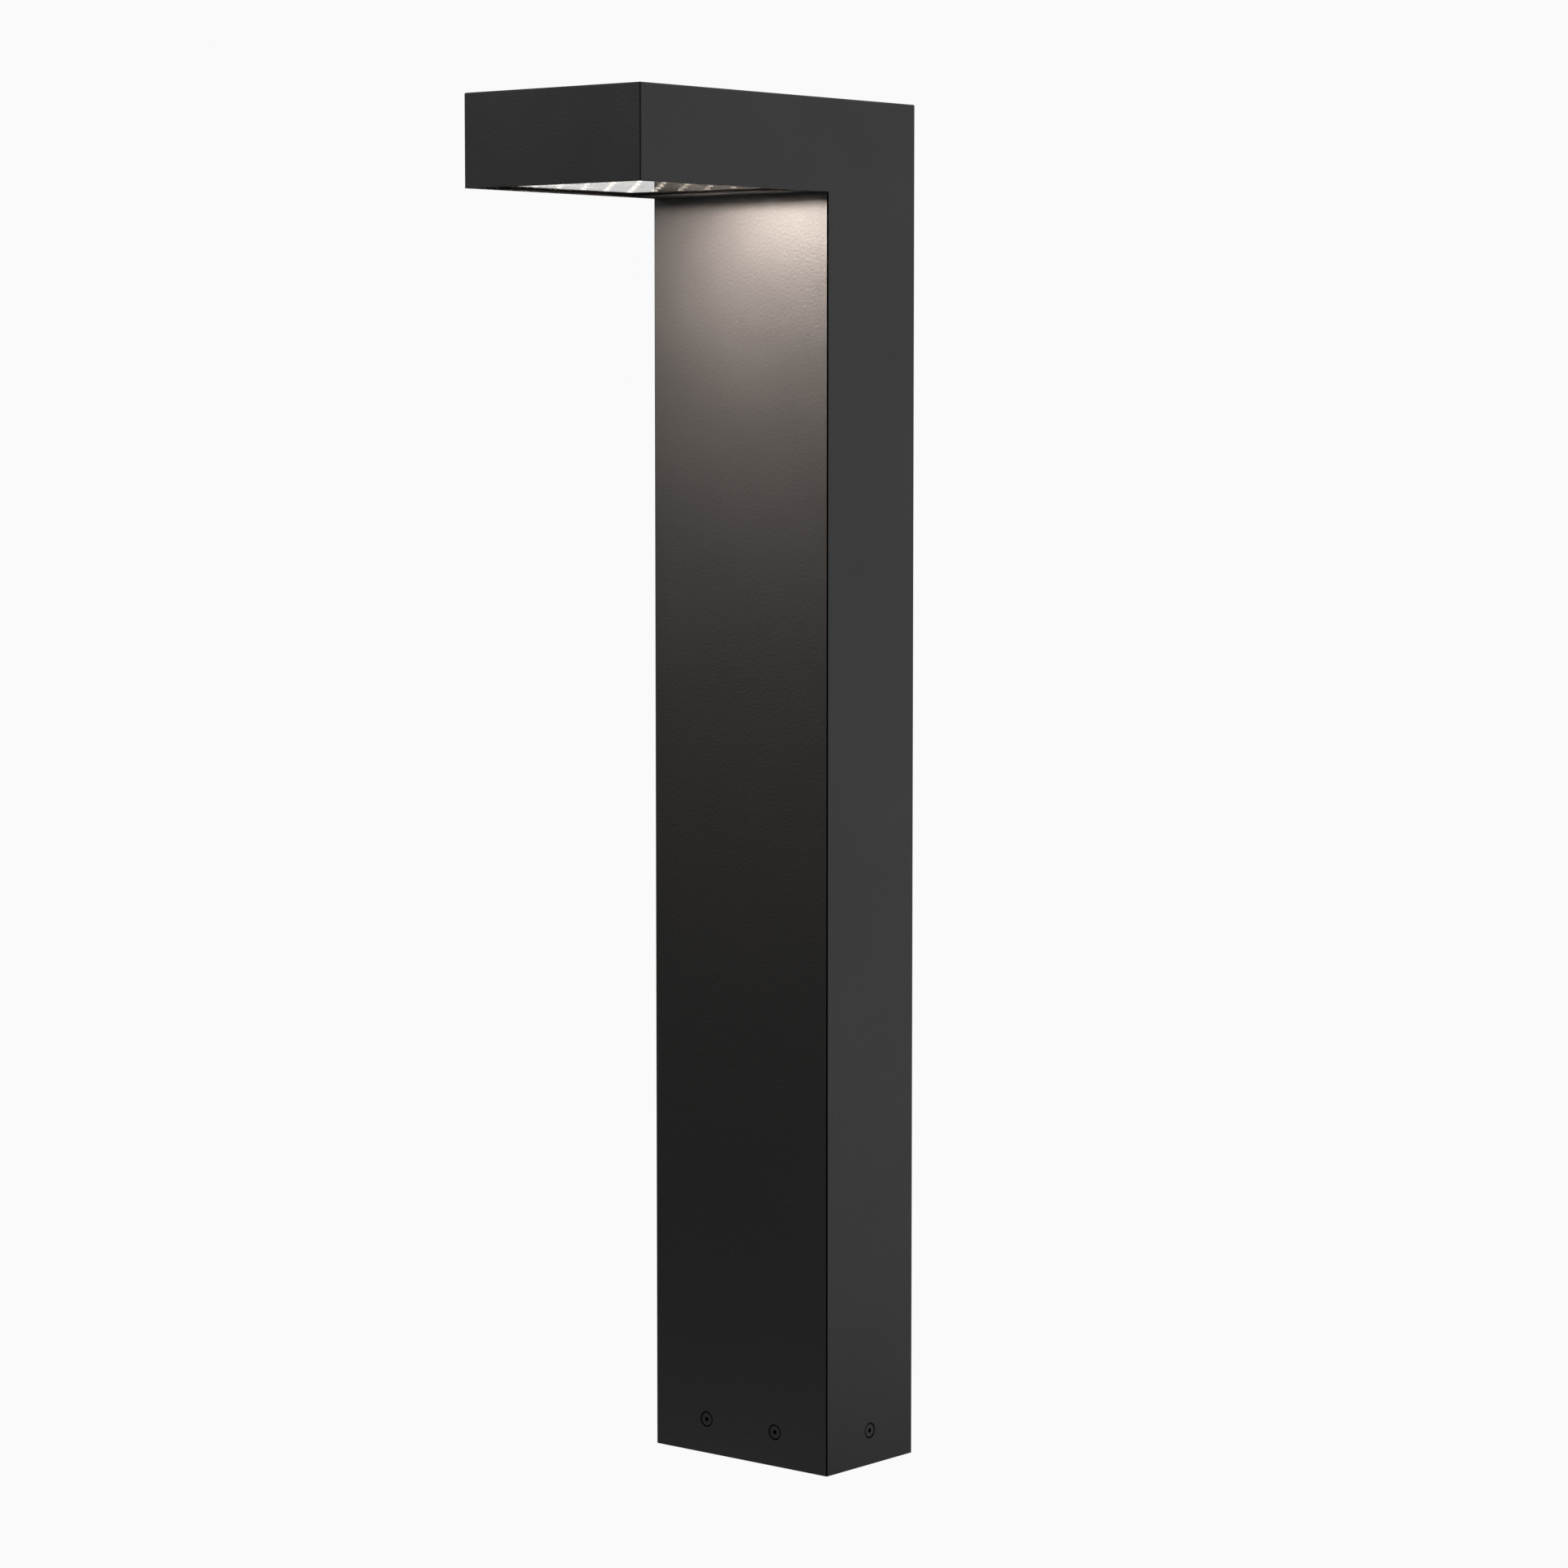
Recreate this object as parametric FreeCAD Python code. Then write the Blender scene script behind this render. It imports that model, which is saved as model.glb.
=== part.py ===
import FreeCAD, Part

import math
import os

V = FreeCAD.Vector
X_AXIS = V(1, 0, 0)
Y_AXIS = V(0, 1, 0)
Z_AXIS = V(0, 0, 1)

# Axes: +Z up, X across the column, and the head reaches out towards -Y.
# Origin: centre of the column's footprint on the ground.

# ---- overall sizes (mm) ----
TOTAL_HEIGHT = 900.0
COLUMN_WIDTH = 150.0
COLUMN_DEPTH = 90.0
HEAD_LENGTH = 270.0
HEAD_HEIGHT = 60.0
WALL = 3.0
EDGE_RADIUS = 1.0
SEAT = 0.15

# ---- fasteners: clearance radius over the thread, then each screw ----
HOLE_CLEARANCE = 0.25
M5_RADIUS = 2.5
M5_LENGTH = 14.0
M5_HEAD_RADIUS = 4.95
M5_HEAD_RECESS = 0.2
M5_SOCKET_ACROSS = 3.0
M5_SOCKET_DEPTH = 2.0
COUNTERSINK_RADIUS = 5.3
M4_RADIUS = 2.0
M4_HEAD_RADIUS = 3.8
M4_HEAD_HEIGHT = 2.6
M4_DRIVE_ACROSS = 2.5
M4_DRIVE_DEPTH = 1.4
M4_NUT_ACROSS = 7.0
M4_NUT_HEIGHT = 3.2
M3_RADIUS = 1.5
M3_HEAD_RADIUS = 2.75
M3_HEAD_HEIGHT = 1.8
M3_DRIVE_ACROSS = 2.0
M3_DRIVE_DEPTH = 1.0

# ---- base: anchor plate, upstand and the six column screws ----
BASE_CLEARANCE = 0.5
PLATE_THICKNESS = 8.0
PLATE_CORNER = 4.0
ANCHOR_SPACING_X = 100.0
ANCHOR_SPACING_Y = 44.0
ANCHOR_HOLE_RADIUS = 4.5
CABLE_HOLE_RADIUS = 16.0
UPSTAND_WALL = 4.0
UPSTAND_TOP = 45.0
COLUMN_SCREW_HEIGHT = 23.0
COLUMN_SCREW_SPACING = 60.0
CLINCH_BODY_RADIUS = 5.5
CLINCH_BODY_LENGTH = 4.0
CLINCH_PILOT_RADIUS = 3.3
CLINCH_PILOT_LENGTH = 3.0

# ---- head: opening, glass, gasket and ledge ----
CROSS_PLATE_REACH = 25.0
GLASS_RECESS = 1.5
GLASS_THICKNESS = 4.0
GLASS_CLEARANCE = 0.3
GASKET_THICKNESS = 2.0
LEDGE_WIDTH = 8.0
LEDGE_THICKNESS = 3.0
LEDGE_BACK_BAR = 10.0

# ---- light engine ----
LENS_COUNT = 6
LENS_PITCH = 22.5
LENS_RADIUS = 7.5
LENS_RISE = 4.5
LENS_PLATE_THICKNESS = 2.0
LENS_PLATE_MARGIN = 0.25
LENS_SKIRT_HEIGHT = 2.4
LENS_SKIRT_WIDTH = 0.8
LENS_SCREW_PITCHES = 2.0
BOARD_THICKNESS = 1.6
BOARD_MARGIN = 2.0
BOARD_TAB_WIDTH = 30.0
BOARD_TAB_OVERHANG = 5.0
PAD_THICKNESS = 1.0
PACKAGE_SIZE = 3.5
PACKAGE_HEIGHT = 1.4
SINK_BASE_THICKNESS = 5.0
SINK_SIDE_GAP = 2.0
SINK_FRONT_GAP = 1.0
SINK_BACK_OVERHANG = 6.0
FIN_HEIGHT = 20.0
FIN_THICKNESS = 2.0
FIN_PITCH = 10.0
FIN_COUNT = 13
FIN_END_INSET = 14.0
LENS_SCREW_BITE = 3.0
STANDOFF_RADIUS = 4.0
STANDOFF_X = 56.0
STANDOFF_FRONT_INSET = 5.5
STANDOFF_BACK_OUTSET = 2.0
STANDOFF_BORE_DEPTH = 12.0
STANDOFF_SCREW_BITE = 9.0
REFLECTOR_WALL = 1.2
REFLECTOR_INSET = 6.0

# ---- internal leads ----
LEAD_RADIUS = 1.2
LEAD_SPACING = 6.0
LEAD_INSERT = 4.0
LEAD_ENTRY_RADIUS = 1.5
LEAD_BEND = 10.0
CONNECTOR_WIDTH = 18.0
CONNECTOR_DEPTH = 10.0
CONNECTOR_HEIGHT = 6.0
CONNECTOR_BACK_INSET = 2.0
GROMMET_HOLE_RADIUS = 9.0
GROMMET_FLANGE_RADIUS = 12.0
GROMMET_FLANGE_HEIGHT = 2.5
GROMMET_BORE_RADIUS = 4.6

# ---- breather vent ----
VENT_X = 45.0
VENT_Y = 18.0
VENT_STEM_RADIUS = 6.0
VENT_STEM_REACH = 7.0
VENT_CAP_RADIUS = 9.0
VENT_CAP_HEIGHT = 6.0
VENT_SLOT_WIDTH = 1.6
VENT_SLOT_DEPTH = 3.0
VENT_NUT_ACROSS = 17.0
VENT_NUT_HEIGHT = 4.0

# ---- gear tray inside the foot of the column ----
TRAY_FACE_Y = 18.0
TRAY_SHEET = 1.5
TRAY_WIDTH = 76.0
TRAY_TOP = 424.0
TRAY_FLANGE = 10.0
TRAY_FOOT_DEPTH = 14.0
TRAY_FOOT_SCREW_X = 22.0
TRAY_FOOT_SCREW_BITE = 5.0
SHELF_HEIGHT = 60.0
SHELF_WIDTH = 44.0
SHELF_DEPTH = 36.0

# ---- driver, surge protector, terminal block ----
DRIVER_WIDTH = 60.0
DRIVER_DEPTH = 32.0
DRIVER_CASE_LENGTH = 140.0
DRIVER_CASE_BOTTOM = 250.0
DRIVER_CASE_CORNER = 3.0
DRIVER_RIB_DEPTH = 1.0
DRIVER_RIB_PITCH = 6.0
DRIVER_RIB_COUNT = 8
DRIVER_CAP_LENGTH = 12.0
DRIVER_TAB_LENGTH = 14.0
DRIVER_TAB_WIDTH = 20.0
TAB_THICKNESS = 3.0
MAINS_LEAD_X = 16.0
MAINS_LEAD_Y = 8.0
SURGE_WIDTH = 44.0
SURGE_DEPTH = 24.0
SURGE_BOTTOM = 165.0
SURGE_HEIGHT = 46.0
SURGE_TAB_REACH = 10.0
SURGE_CORNER = 3.0
SIDE_SCREW_X = 27.0
BLOCK_WIDTH = 66.0
BLOCK_DEPTH = 20.0
BLOCK_BOTTOM = 85.0
BLOCK_HEIGHT = 30.0
BLOCK_EAR_WIDTH = 12.0
BLOCK_ENTRY_RADIUS = 2.4
BLOCK_ENTRY_DEPTH = 9.0
CLAMP_RADIUS = 2.2
CLAMP_WELL_RADIUS = 2.6
CLAMP_WELL_DEPTH = 7.0
CLAMP_LENGTH = 4.0
CLAMP_SLOT = 0.8
CLAMP_INSET = 8.0

# ---- protective earth ----
EARTH_HEIGHT = 145.0
EARTH_STUD_LENGTH = 15.0
EARTH_STUD_HEAD = 1.5
WASHER_RADIUS = 5.0
WASHER_THICKNESS = 1.0
RING_RADIUS = 5.5
RING_THICKNESS = 1.0
RING_BARREL_RADIUS = 2.2
RING_BARREL_LENGTH = 7.0
EARTH_LEAD_BEND = 3.0
EARTH_LEAD_RISE = 5.0

# ---- cable gland (inlet) ----
GLAND_THREAD_RADIUS = 10.0
GLAND_BORE_RADIUS = 5.5
GLAND_HEX_ACROSS = 24.0
GLAND_HEX_HEIGHT = 6.0
GLAND_NECK_LENGTH = 10.0
GLAND_NECK_RADIUS = 9.0
GLAND_TOP_LENGTH = 12.0
GLAND_NUT_HEIGHT = 5.0
GLAND_DOME_RADIUS = 12.5
GLAND_DOME_HEIGHT = 15.0
GLAND_DOME_ROUND = 3.0
GLAND_SEAL_WALL = 2.5

# ---- derived levels and positions ----
COLUMN_HEIGHT = TOTAL_HEIGHT - HEAD_HEIGHT
HALF_WIDTH = COLUMN_WIDTH / 2
HALF_DEPTH = COLUMN_DEPTH / 2
INNER_X = HALF_WIDTH - WALL
INNER_Y = HALF_DEPTH - WALL
HEAD_FRONT = HALF_DEPTH - HEAD_LENGTH
OPENING_FRONT = HEAD_FRONT + WALL
OPENING_BACK = -HALF_DEPTH - CROSS_PLATE_REACH
OPTIC_Y = (OPENING_FRONT + OPENING_BACK) / 2
CROSS_PLATE_TOP = COLUMN_HEIGHT + WALL
ROOF = TOTAL_HEIGHT - WALL
GLASS_BOTTOM = COLUMN_HEIGHT + GLASS_RECESS
GLASS_TOP = GLASS_BOTTOM + GLASS_THICKNESS
LEDGE_BOTTOM = GLASS_TOP + GASKET_THICKNESS
LEDGE_TOP = LEDGE_BOTTOM + LEDGE_THICKNESS
SINK_TOP = ROOF - FIN_HEIGHT
SINK_BOTTOM = SINK_TOP - SINK_BASE_THICKNESS
BOARD_TOP = SINK_BOTTOM - PAD_THICKNESS
BOARD_BOTTOM = BOARD_TOP - BOARD_THICKNESS
LENS_PLATE_TOP = BOARD_BOTTOM - LENS_SKIRT_HEIGHT
LENS_PLATE_BOTTOM = LENS_PLATE_TOP - LENS_PLATE_THICKNESS
LENS_SPAN = (LENS_COUNT - 1) * LENS_PITCH
LENS_HALF = LENS_SPAN / 2 + LENS_RADIUS + LENS_PLATE_MARGIN
BOARD_HALF = LENS_HALF + BOARD_MARGIN
TAB_BACK = OPENING_BACK + BOARD_TAB_OVERHANG
BASE_X = INNER_X - BASE_CLEARANCE
BASE_Y = INNER_Y - BASE_CLEARANCE
UPSTAND_X = BASE_X - UPSTAND_WALL
UPSTAND_Y = BASE_Y - UPSTAND_WALL
TRAY_BACK_Y = TRAY_FACE_Y + TRAY_SHEET
SHELF_TOP = SHELF_HEIGHT + TRAY_SHEET
CONNECTOR_BACK = TAB_BACK - CONNECTOR_BACK_INSET
LEAD_HEIGHT = BOARD_BOTTOM - CONNECTOR_HEIGHT / 2
DRIVER_TOP = DRIVER_CASE_BOTTOM + DRIVER_CASE_LENGTH + DRIVER_CAP_LENGTH
DRIVER_BOTTOM = DRIVER_CASE_BOTTOM - DRIVER_CAP_LENGTH
SURGE_TOP = SURGE_BOTTOM + SURGE_HEIGHT
SURGE_SCREW_Z = SURGE_BOTTOM + SURGE_HEIGHT / 2
BLOCK_TOP = BLOCK_BOTTOM + BLOCK_HEIGHT
BLOCK_SCREW_Z = BLOCK_BOTTOM + BLOCK_HEIGHT / 2


# ---- basic shapes ----
def block(x0, x1, y0, y1, z0, z1):
    """Box between two corners."""
    return Part.makeBox(x1 - x0, y1 - y0, z1 - z0, V(x0, y0, z0))


def centred(half_x, half_y, z0, z1, y=0.0):
    """Box centred on X = 0 and the given Y."""
    return block(-half_x, half_x, y - half_y, y + half_y, z0, z1)


def round_edges(shape, radius, wanted):
    """Fillet the edges picked by a test on their two end points."""
    edges = []
    for edge in shape.Edges:
        ends = [vertex.Point for vertex in edge.Vertexes]
        if len(ends) == 2 and wanted(ends[0], ends[1]):
            edges.append(edge)
    return shape.makeFillet(radius, edges)


def is_upright(a, b):
    """True when an edge runs along Z."""
    return math.hypot(a.x - b.x, a.y - b.y) < SEAT and abs(a.z - b.z) > SEAT


def rod(radius, start, axis, length):
    """Round bar from a point along an axis."""
    return Part.makeCylinder(radius, length, start, axis)


def hexagon(across, start, axis, length):
    """Hexagonal bar from a point along an axis."""
    corner = across / 2 / math.cos(math.pi / 6)
    side = V(0, 0, 1).cross(axis)
    if side.Length < SEAT:
        side = V(1, 0, 0)
    side.normalize()
    turn = axis.cross(side)
    points = []
    for i in range(7):
        angle = i * math.pi / 3
        points.append(start + side * (corner * math.cos(angle)) + turn * (corner * math.sin(angle)))
    face = Part.Face(Part.makePolygon(points))
    return face.extrude(axis * length)


def cut(shape, tools):
    """Take a list of tools out of a shape."""
    result = shape.cut(tools) if tools else shape
    return result.removeSplitter()


def join(shape, others):
    """Fuse shapes into one clean solid."""
    return shape.fuse(others).removeSplitter()


def rounded_path(points, bend):
    """Wire through the points with each corner rounded."""
    edges = []
    start = points[0]
    for i in range(1, len(points) - 1):
        corner = points[i]
        back = (points[i - 1] - corner).normalize()
        ahead = (points[i + 1] - corner).normalize()
        half = math.acos(max(-1.0, min(1.0, back.dot(ahead)))) / 2
        reach = bend / math.tan(half)
        first = corner + back * reach
        last = corner + ahead * reach
        middle_way = (back + ahead).normalize()
        middle = corner + middle_way * (bend / math.sin(half) - bend)
        edges.append(Part.LineSegment(start, first).toShape())
        edges.append(Part.Arc(first, middle, last).toShape())
        start = last
    edges.append(Part.LineSegment(start, points[-1]).toShape())
    return Part.Wire(edges)


def lead(points, bend, radius=LEAD_RADIUS):
    """Insulated lead swept along a rounded path."""
    if len(points) == 2:
        run = points[1] - points[0]
        return rod(radius, points[0], V(run).normalize(), run.Length)
    path = rounded_path(points, bend)
    along = (points[1] - points[0]).normalize()
    ring = Part.Wire([Part.makeCircle(radius, points[0], along)])
    return path.makePipeShell([ring], True, False)


def cap_screw(seat, axis, radius, head_radius, head_height, across, drive_depth, length):
    """Button-head screw: axis points from the seat into the hole."""
    head = rod(head_radius, seat - axis * head_height, axis, head_height)
    top = [edge for edge in head.Edges if (edge.CenterOfMass - (seat - axis * head_height)).Length < SEAT]
    head = head.makeFillet(head_height / 2, top)
    shank = rod(radius, seat, axis, length)
    drive = hexagon(across, seat - axis * head_height, axis, drive_depth)
    return cut(head.fuse(shank), [drive])


def m4_screw(seat, axis, length):
    """M4 button-head screw."""
    return cap_screw(seat, axis, M4_RADIUS, M4_HEAD_RADIUS, M4_HEAD_HEIGHT,
                     M4_DRIVE_ACROSS, M4_DRIVE_DEPTH, length)


def m4_nut(seat, axis):
    """M4 hexagon nut standing on its seat."""
    bore = rod(M4_RADIUS + SEAT, seat, axis, M4_NUT_HEIGHT)
    return hexagon(M4_NUT_ACROSS, seat, axis, M4_NUT_HEIGHT).cut(bore)


def m4_hole(start, axis, length):
    """Clearance hole for an M4 screw."""
    return rod(M4_RADIUS + HOLE_CLEARANCE, start, axis, length)


# ---- shared positions ----
def column_screw_sites():
    """Outer face point and inward direction of each of the six column screws."""
    half = COLUMN_SCREW_SPACING / 2
    sites = []
    for x in (-half, half):
        sites.append((V(x, -HALF_DEPTH, COLUMN_SCREW_HEIGHT), V(Y_AXIS)))
        sites.append((V(x, HALF_DEPTH, COLUMN_SCREW_HEIGHT), -V(Y_AXIS)))
    sites.append((V(-HALF_WIDTH, 0, COLUMN_SCREW_HEIGHT), V(X_AXIS)))
    sites.append((V(HALF_WIDTH, 0, COLUMN_SCREW_HEIGHT), -V(X_AXIS)))
    return sites


def anchor_sites():
    """Centres of the four anchor holes."""
    half_x = ANCHOR_SPACING_X / 2
    half_y = ANCHOR_SPACING_Y / 2
    return [(x, y) for x in (-half_x, half_x) for y in (-half_y, half_y)]


def lens_sites():
    """Centres of the lenses, row by row."""
    steps = [i * LENS_PITCH - LENS_SPAN / 2 for i in range(LENS_COUNT)]
    return [(x, OPTIC_Y + y) for x in steps for y in steps]


def lens_screw_sites():
    """Four screws set between the lenses."""
    reach = LENS_SCREW_PITCHES * LENS_PITCH
    return [(x, OPTIC_Y + y) for x in (-reach, reach) for y in (-reach, reach)]


def standoff_sites():
    """Four posts that carry the heat sink under the roof."""
    front = OPENING_FRONT + STANDOFF_FRONT_INSET
    back = OPENING_BACK - STANDOFF_BACK_OUTSET
    return [(x, y) for x in (-STANDOFF_X, STANDOFF_X) for y in (front, back)]


def gear_screw_sites():
    """Screws that hold the gear on the tray: X, Z and the thickness clamped in front of the sheet."""
    tab_mid = DRIVER_TAB_LENGTH / 2
    sites = [(0.0, DRIVER_TOP + tab_mid), (0.0, DRIVER_BOTTOM - tab_mid)]
    for x in (-SIDE_SCREW_X, SIDE_SCREW_X):
        sites.append((x, SURGE_SCREW_Z))
        sites.append((x, BLOCK_SCREW_Z))
    return sites


def lead_sites():
    """X of the two low-voltage leads."""
    return (-LEAD_SPACING / 2, LEAD_SPACING / 2)


def clamp_columns():
    """X of the three poles of the terminal block."""
    return (-MAINS_LEAD_X, 0.0, MAINS_LEAD_X)


# ---- housing ----
def make_column_tube():
    """Rectangular column tube with six countersunk holes near the ground."""
    outer = round_edges(centred(HALF_WIDTH, HALF_DEPTH, 0, COLUMN_HEIGHT), EDGE_RADIUS, is_upright)
    tools = [round_edges(centred(INNER_X, INNER_Y, 0, COLUMN_HEIGHT), EDGE_RADIUS, is_upright)]
    small = M5_RADIUS + HOLE_CLEARANCE
    depth = COUNTERSINK_RADIUS - small
    for site, inward in column_screw_sites():
        tools.append(rod(small, site, inward, WALL))
        tools.append(Part.makeCone(COUNTERSINK_RADIUS, small, depth, site, inward))
    return cut(outer, tools)


def make_head_shell():
    """Box head with a glazed opening underneath and a closed cross plate over the column."""
    outer = block(-HALF_WIDTH, HALF_WIDTH, HEAD_FRONT, HALF_DEPTH, COLUMN_HEIGHT, TOTAL_HEIGHT)
    outer = round_edges(outer, EDGE_RADIUS, lambda a, b: is_upright(a, b) or min(a.z, b.z) > ROOF)
    cavity = block(-INNER_X, INNER_X, OPENING_FRONT, INNER_Y, CROSS_PLATE_TOP, ROOF)
    opening = block(-INNER_X, INNER_X, OPENING_FRONT, OPENING_BACK, COLUMN_HEIGHT, CROSS_PLATE_TOP)
    grommet = rod(GROMMET_HOLE_RADIUS, V(0, 0, COLUMN_HEIGHT), Z_AXIS, WALL)
    vent = rod(VENT_STEM_RADIUS + HOLE_CLEARANCE, V(VENT_X, VENT_Y, COLUMN_HEIGHT), Z_AXIS, WALL)
    return cut(outer, [cavity, opening, grommet, vent])


def ring_of_opening(inset, z0, z1, width):
    """Rectangular ring inside the glazed opening."""
    half_x = INNER_X - inset
    half_y = (OPENING_BACK - OPENING_FRONT) / 2 - inset
    outer = centred(half_x, half_y, z0, z1, OPTIC_Y)
    ledge_x = INNER_X - width
    ledge_y = (OPENING_BACK - OPENING_FRONT) / 2 - width
    return outer.cut(centred(ledge_x, ledge_y, z0, z1, OPTIC_Y))


def make_cover_glass():
    """Toughened glass pane set just above the rim."""
    half_y = (OPENING_BACK - OPENING_FRONT) / 2 - GLASS_CLEARANCE
    return centred(INNER_X - GLASS_CLEARANCE, half_y, GLASS_BOTTOM, GLASS_TOP, OPTIC_Y)


def make_glass_gasket():
    """Silicone bond between the pane and the ledge."""
    return ring_of_opening(GLASS_CLEARANCE, GLASS_TOP, LEDGE_BOTTOM, LEDGE_WIDTH)


def make_glass_ledge():
    """Welded ledge frame with a deeper bar standing on the cross plate."""
    flange = ring_of_opening(0.0, LEDGE_BOTTOM, LEDGE_TOP, LEDGE_WIDTH)
    bar = block(-INNER_X, INNER_X, OPENING_BACK, OPENING_BACK + LEDGE_BACK_BAR, CROSS_PLATE_TOP, LEDGE_TOP)
    return join(flange, [bar])


# ---- light engine ----
def tapered_box(bottom_x, bottom_y, top, z0, z1):
    """Four-sided solid from a rectangle up to a square, given by half sizes and centred on the optics."""
    wires = []
    for half_x, half_y, z in ((bottom_x, bottom_y, z0), (top, top, z1)):
        corners = [V(-half_x, OPTIC_Y - half_y, z), V(half_x, OPTIC_Y - half_y, z)]
        corners += [V(half_x, OPTIC_Y + half_y, z), V(-half_x, OPTIC_Y + half_y, z)]
        wires.append(Part.makePolygon(corners + [corners[0]]))
    return Part.makeLoft(wires, True, True)


def make_reflector_frame():
    """White tapered frame that stands on the ledge and closes the light chamber up to the board."""
    top = LENS_HALF + REFLECTOR_WALL + SEAT
    foot_x = INNER_X - REFLECTOR_INSET
    foot_y = (OPENING_BACK - OPENING_FRONT) / 2 - REFLECTOR_INSET
    high = BOARD_BOTTOM - SEAT
    wall = REFLECTOR_WALL
    outer = tapered_box(foot_x, foot_y, top, LEDGE_TOP, high)
    inner = tapered_box(foot_x - wall, foot_y - wall, top - wall, LEDGE_TOP, high)
    return outer.cut(inner)


def make_lens_array():
    """Clear plate with a dome under every LED and a skirt that stands on the board."""
    plate = centred(LENS_HALF, LENS_HALF, LENS_PLATE_BOTTOM, BOARD_BOTTOM, OPTIC_Y)
    room = LENS_HALF - LENS_SKIRT_WIDTH
    plate = plate.cut(centred(room, room, LENS_PLATE_TOP, BOARD_BOTTOM, OPTIC_Y))
    ball = (LENS_RADIUS ** 2 + LENS_RISE ** 2) / (2 * LENS_RISE)
    middle = LENS_PLATE_BOTTOM - LENS_RISE + ball
    keep = centred(LENS_HALF, LENS_HALF, LENS_PLATE_BOTTOM - ball, LENS_PLATE_BOTTOM, OPTIC_Y)
    domes = []
    for x, y in lens_sites():
        domes.append(Part.makeSphere(ball, V(x, y, middle)).common(keep))
    return cut(join(plate, domes), lens_screw_holes(LENS_PLATE_BOTTOM, LENS_PLATE_THICKNESS))


def lens_screw_holes(z0, height):
    """Clearance holes of the lens screws through a flat layer."""
    return [rod(M3_RADIUS + HOLE_CLEARANCE, V(x, y, z0), Z_AXIS, height) for x, y in lens_screw_sites()]


def make_led_board():
    """Metal-core board with a tab at the back for the connector."""
    board = centred(BOARD_HALF, BOARD_HALF, BOARD_BOTTOM, BOARD_TOP, OPTIC_Y)
    half_tab = BOARD_TAB_WIDTH / 2
    tab = block(-half_tab, half_tab, OPTIC_Y, TAB_BACK, BOARD_BOTTOM, BOARD_TOP)
    return cut(join(board, [tab]), lens_screw_holes(BOARD_BOTTOM, BOARD_THICKNESS))


def make_led_packages():
    """One small LED package over every lens."""
    half = PACKAGE_SIZE / 2
    low = BOARD_BOTTOM - PACKAGE_HEIGHT
    packages = []
    for x, y in lens_sites():
        packages.append(block(x - half, x + half, y - half, y + half, low, BOARD_BOTTOM))
    return packages


def make_thermal_pad():
    """Soft heat-conducting pad between board and heat sink."""
    pad = centred(LENS_HALF, LENS_HALF, BOARD_TOP, SINK_BOTTOM, OPTIC_Y)
    return cut(pad, lens_screw_holes(BOARD_TOP, PAD_THICKNESS))


def make_heat_sink():
    """Extruded heat sink: the fins bear on the roof of the head."""
    front = OPENING_FRONT + SINK_FRONT_GAP
    back = OPENING_BACK + SINK_BACK_OVERHANG
    half = INNER_X - SINK_SIDE_GAP
    base = block(-half, half, front, back, SINK_BOTTOM, SINK_TOP)
    fin_front = front + FIN_END_INSET
    fin_back = back - FIN_END_INSET
    fins = []
    for i in range(FIN_COUNT):
        x = (i - (FIN_COUNT - 1) / 2) * FIN_PITCH
        x0 = x - FIN_THICKNESS / 2
        fins.append(block(x0, x0 + FIN_THICKNESS, fin_front, fin_back, SINK_TOP, ROOF))
    holes = [m4_hole(V(x, y, SINK_BOTTOM), Z_AXIS, SINK_BASE_THICKNESS) for x, y in standoff_sites()]
    bite = LENS_SCREW_BITE + HOLE_CLEARANCE
    holes += [rod(M3_RADIUS + SEAT, V(x, y, SINK_BOTTOM), Z_AXIS, bite) for x, y in lens_screw_sites()]
    return cut(join(base, fins), holes)


def make_module_standoffs():
    """Round posts under the roof, tapped from below."""
    posts = []
    for x, y in standoff_sites():
        post = rod(STANDOFF_RADIUS, V(x, y, SINK_TOP), Z_AXIS, FIN_HEIGHT)
        posts.append(post.cut(rod(M4_RADIUS + SEAT, V(x, y, SINK_TOP), Z_AXIS, STANDOFF_BORE_DEPTH)))
    return posts


def make_module_screws():
    """Screws from below through the heat sink into the posts."""
    length = SINK_BASE_THICKNESS + STANDOFF_SCREW_BITE
    return [m4_screw(V(x, y, SINK_BOTTOM), V(Z_AXIS), length) for x, y in standoff_sites()]


def make_lens_screws():
    """Screws that clamp lens plate, board and pad to the heat sink."""
    length = SINK_BOTTOM + LENS_SCREW_BITE - LENS_PLATE_BOTTOM
    screws = []
    for x, y in lens_screw_sites():
        seat = V(x, y, LENS_PLATE_BOTTOM)
        screws.append(cap_screw(seat, V(Z_AXIS), M3_RADIUS, M3_HEAD_RADIUS, M3_HEAD_HEIGHT,
                                M3_DRIVE_ACROSS, M3_DRIVE_DEPTH, length))
    return screws


def make_board_connector():
    """Two-pole connector under the tab of the board."""
    half = CONNECTOR_WIDTH / 2
    front = CONNECTOR_BACK - CONNECTOR_DEPTH
    body = block(-half, half, front, CONNECTOR_BACK, BOARD_BOTTOM - CONNECTOR_HEIGHT, BOARD_BOTTOM)
    holes = []
    for x in lead_sites():
        start = V(x, CONNECTOR_BACK - LEAD_INSERT - SEAT, LEAD_HEIGHT)
        holes.append(rod(LEAD_ENTRY_RADIUS, start, Y_AXIS, LEAD_INSERT + SEAT))
    return cut(body, holes)


def make_low_voltage_lead(x):
    """Lead from the connector back over the column, through the grommet and down to the driver."""
    start = V(x, CONNECTOR_BACK - LEAD_INSERT, LEAD_HEIGHT)
    corner = V(x, 0, LEAD_HEIGHT)
    end = V(x, 0, DRIVER_TOP - LEAD_INSERT)
    return lead([start, corner, end], LEAD_BEND)


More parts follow.
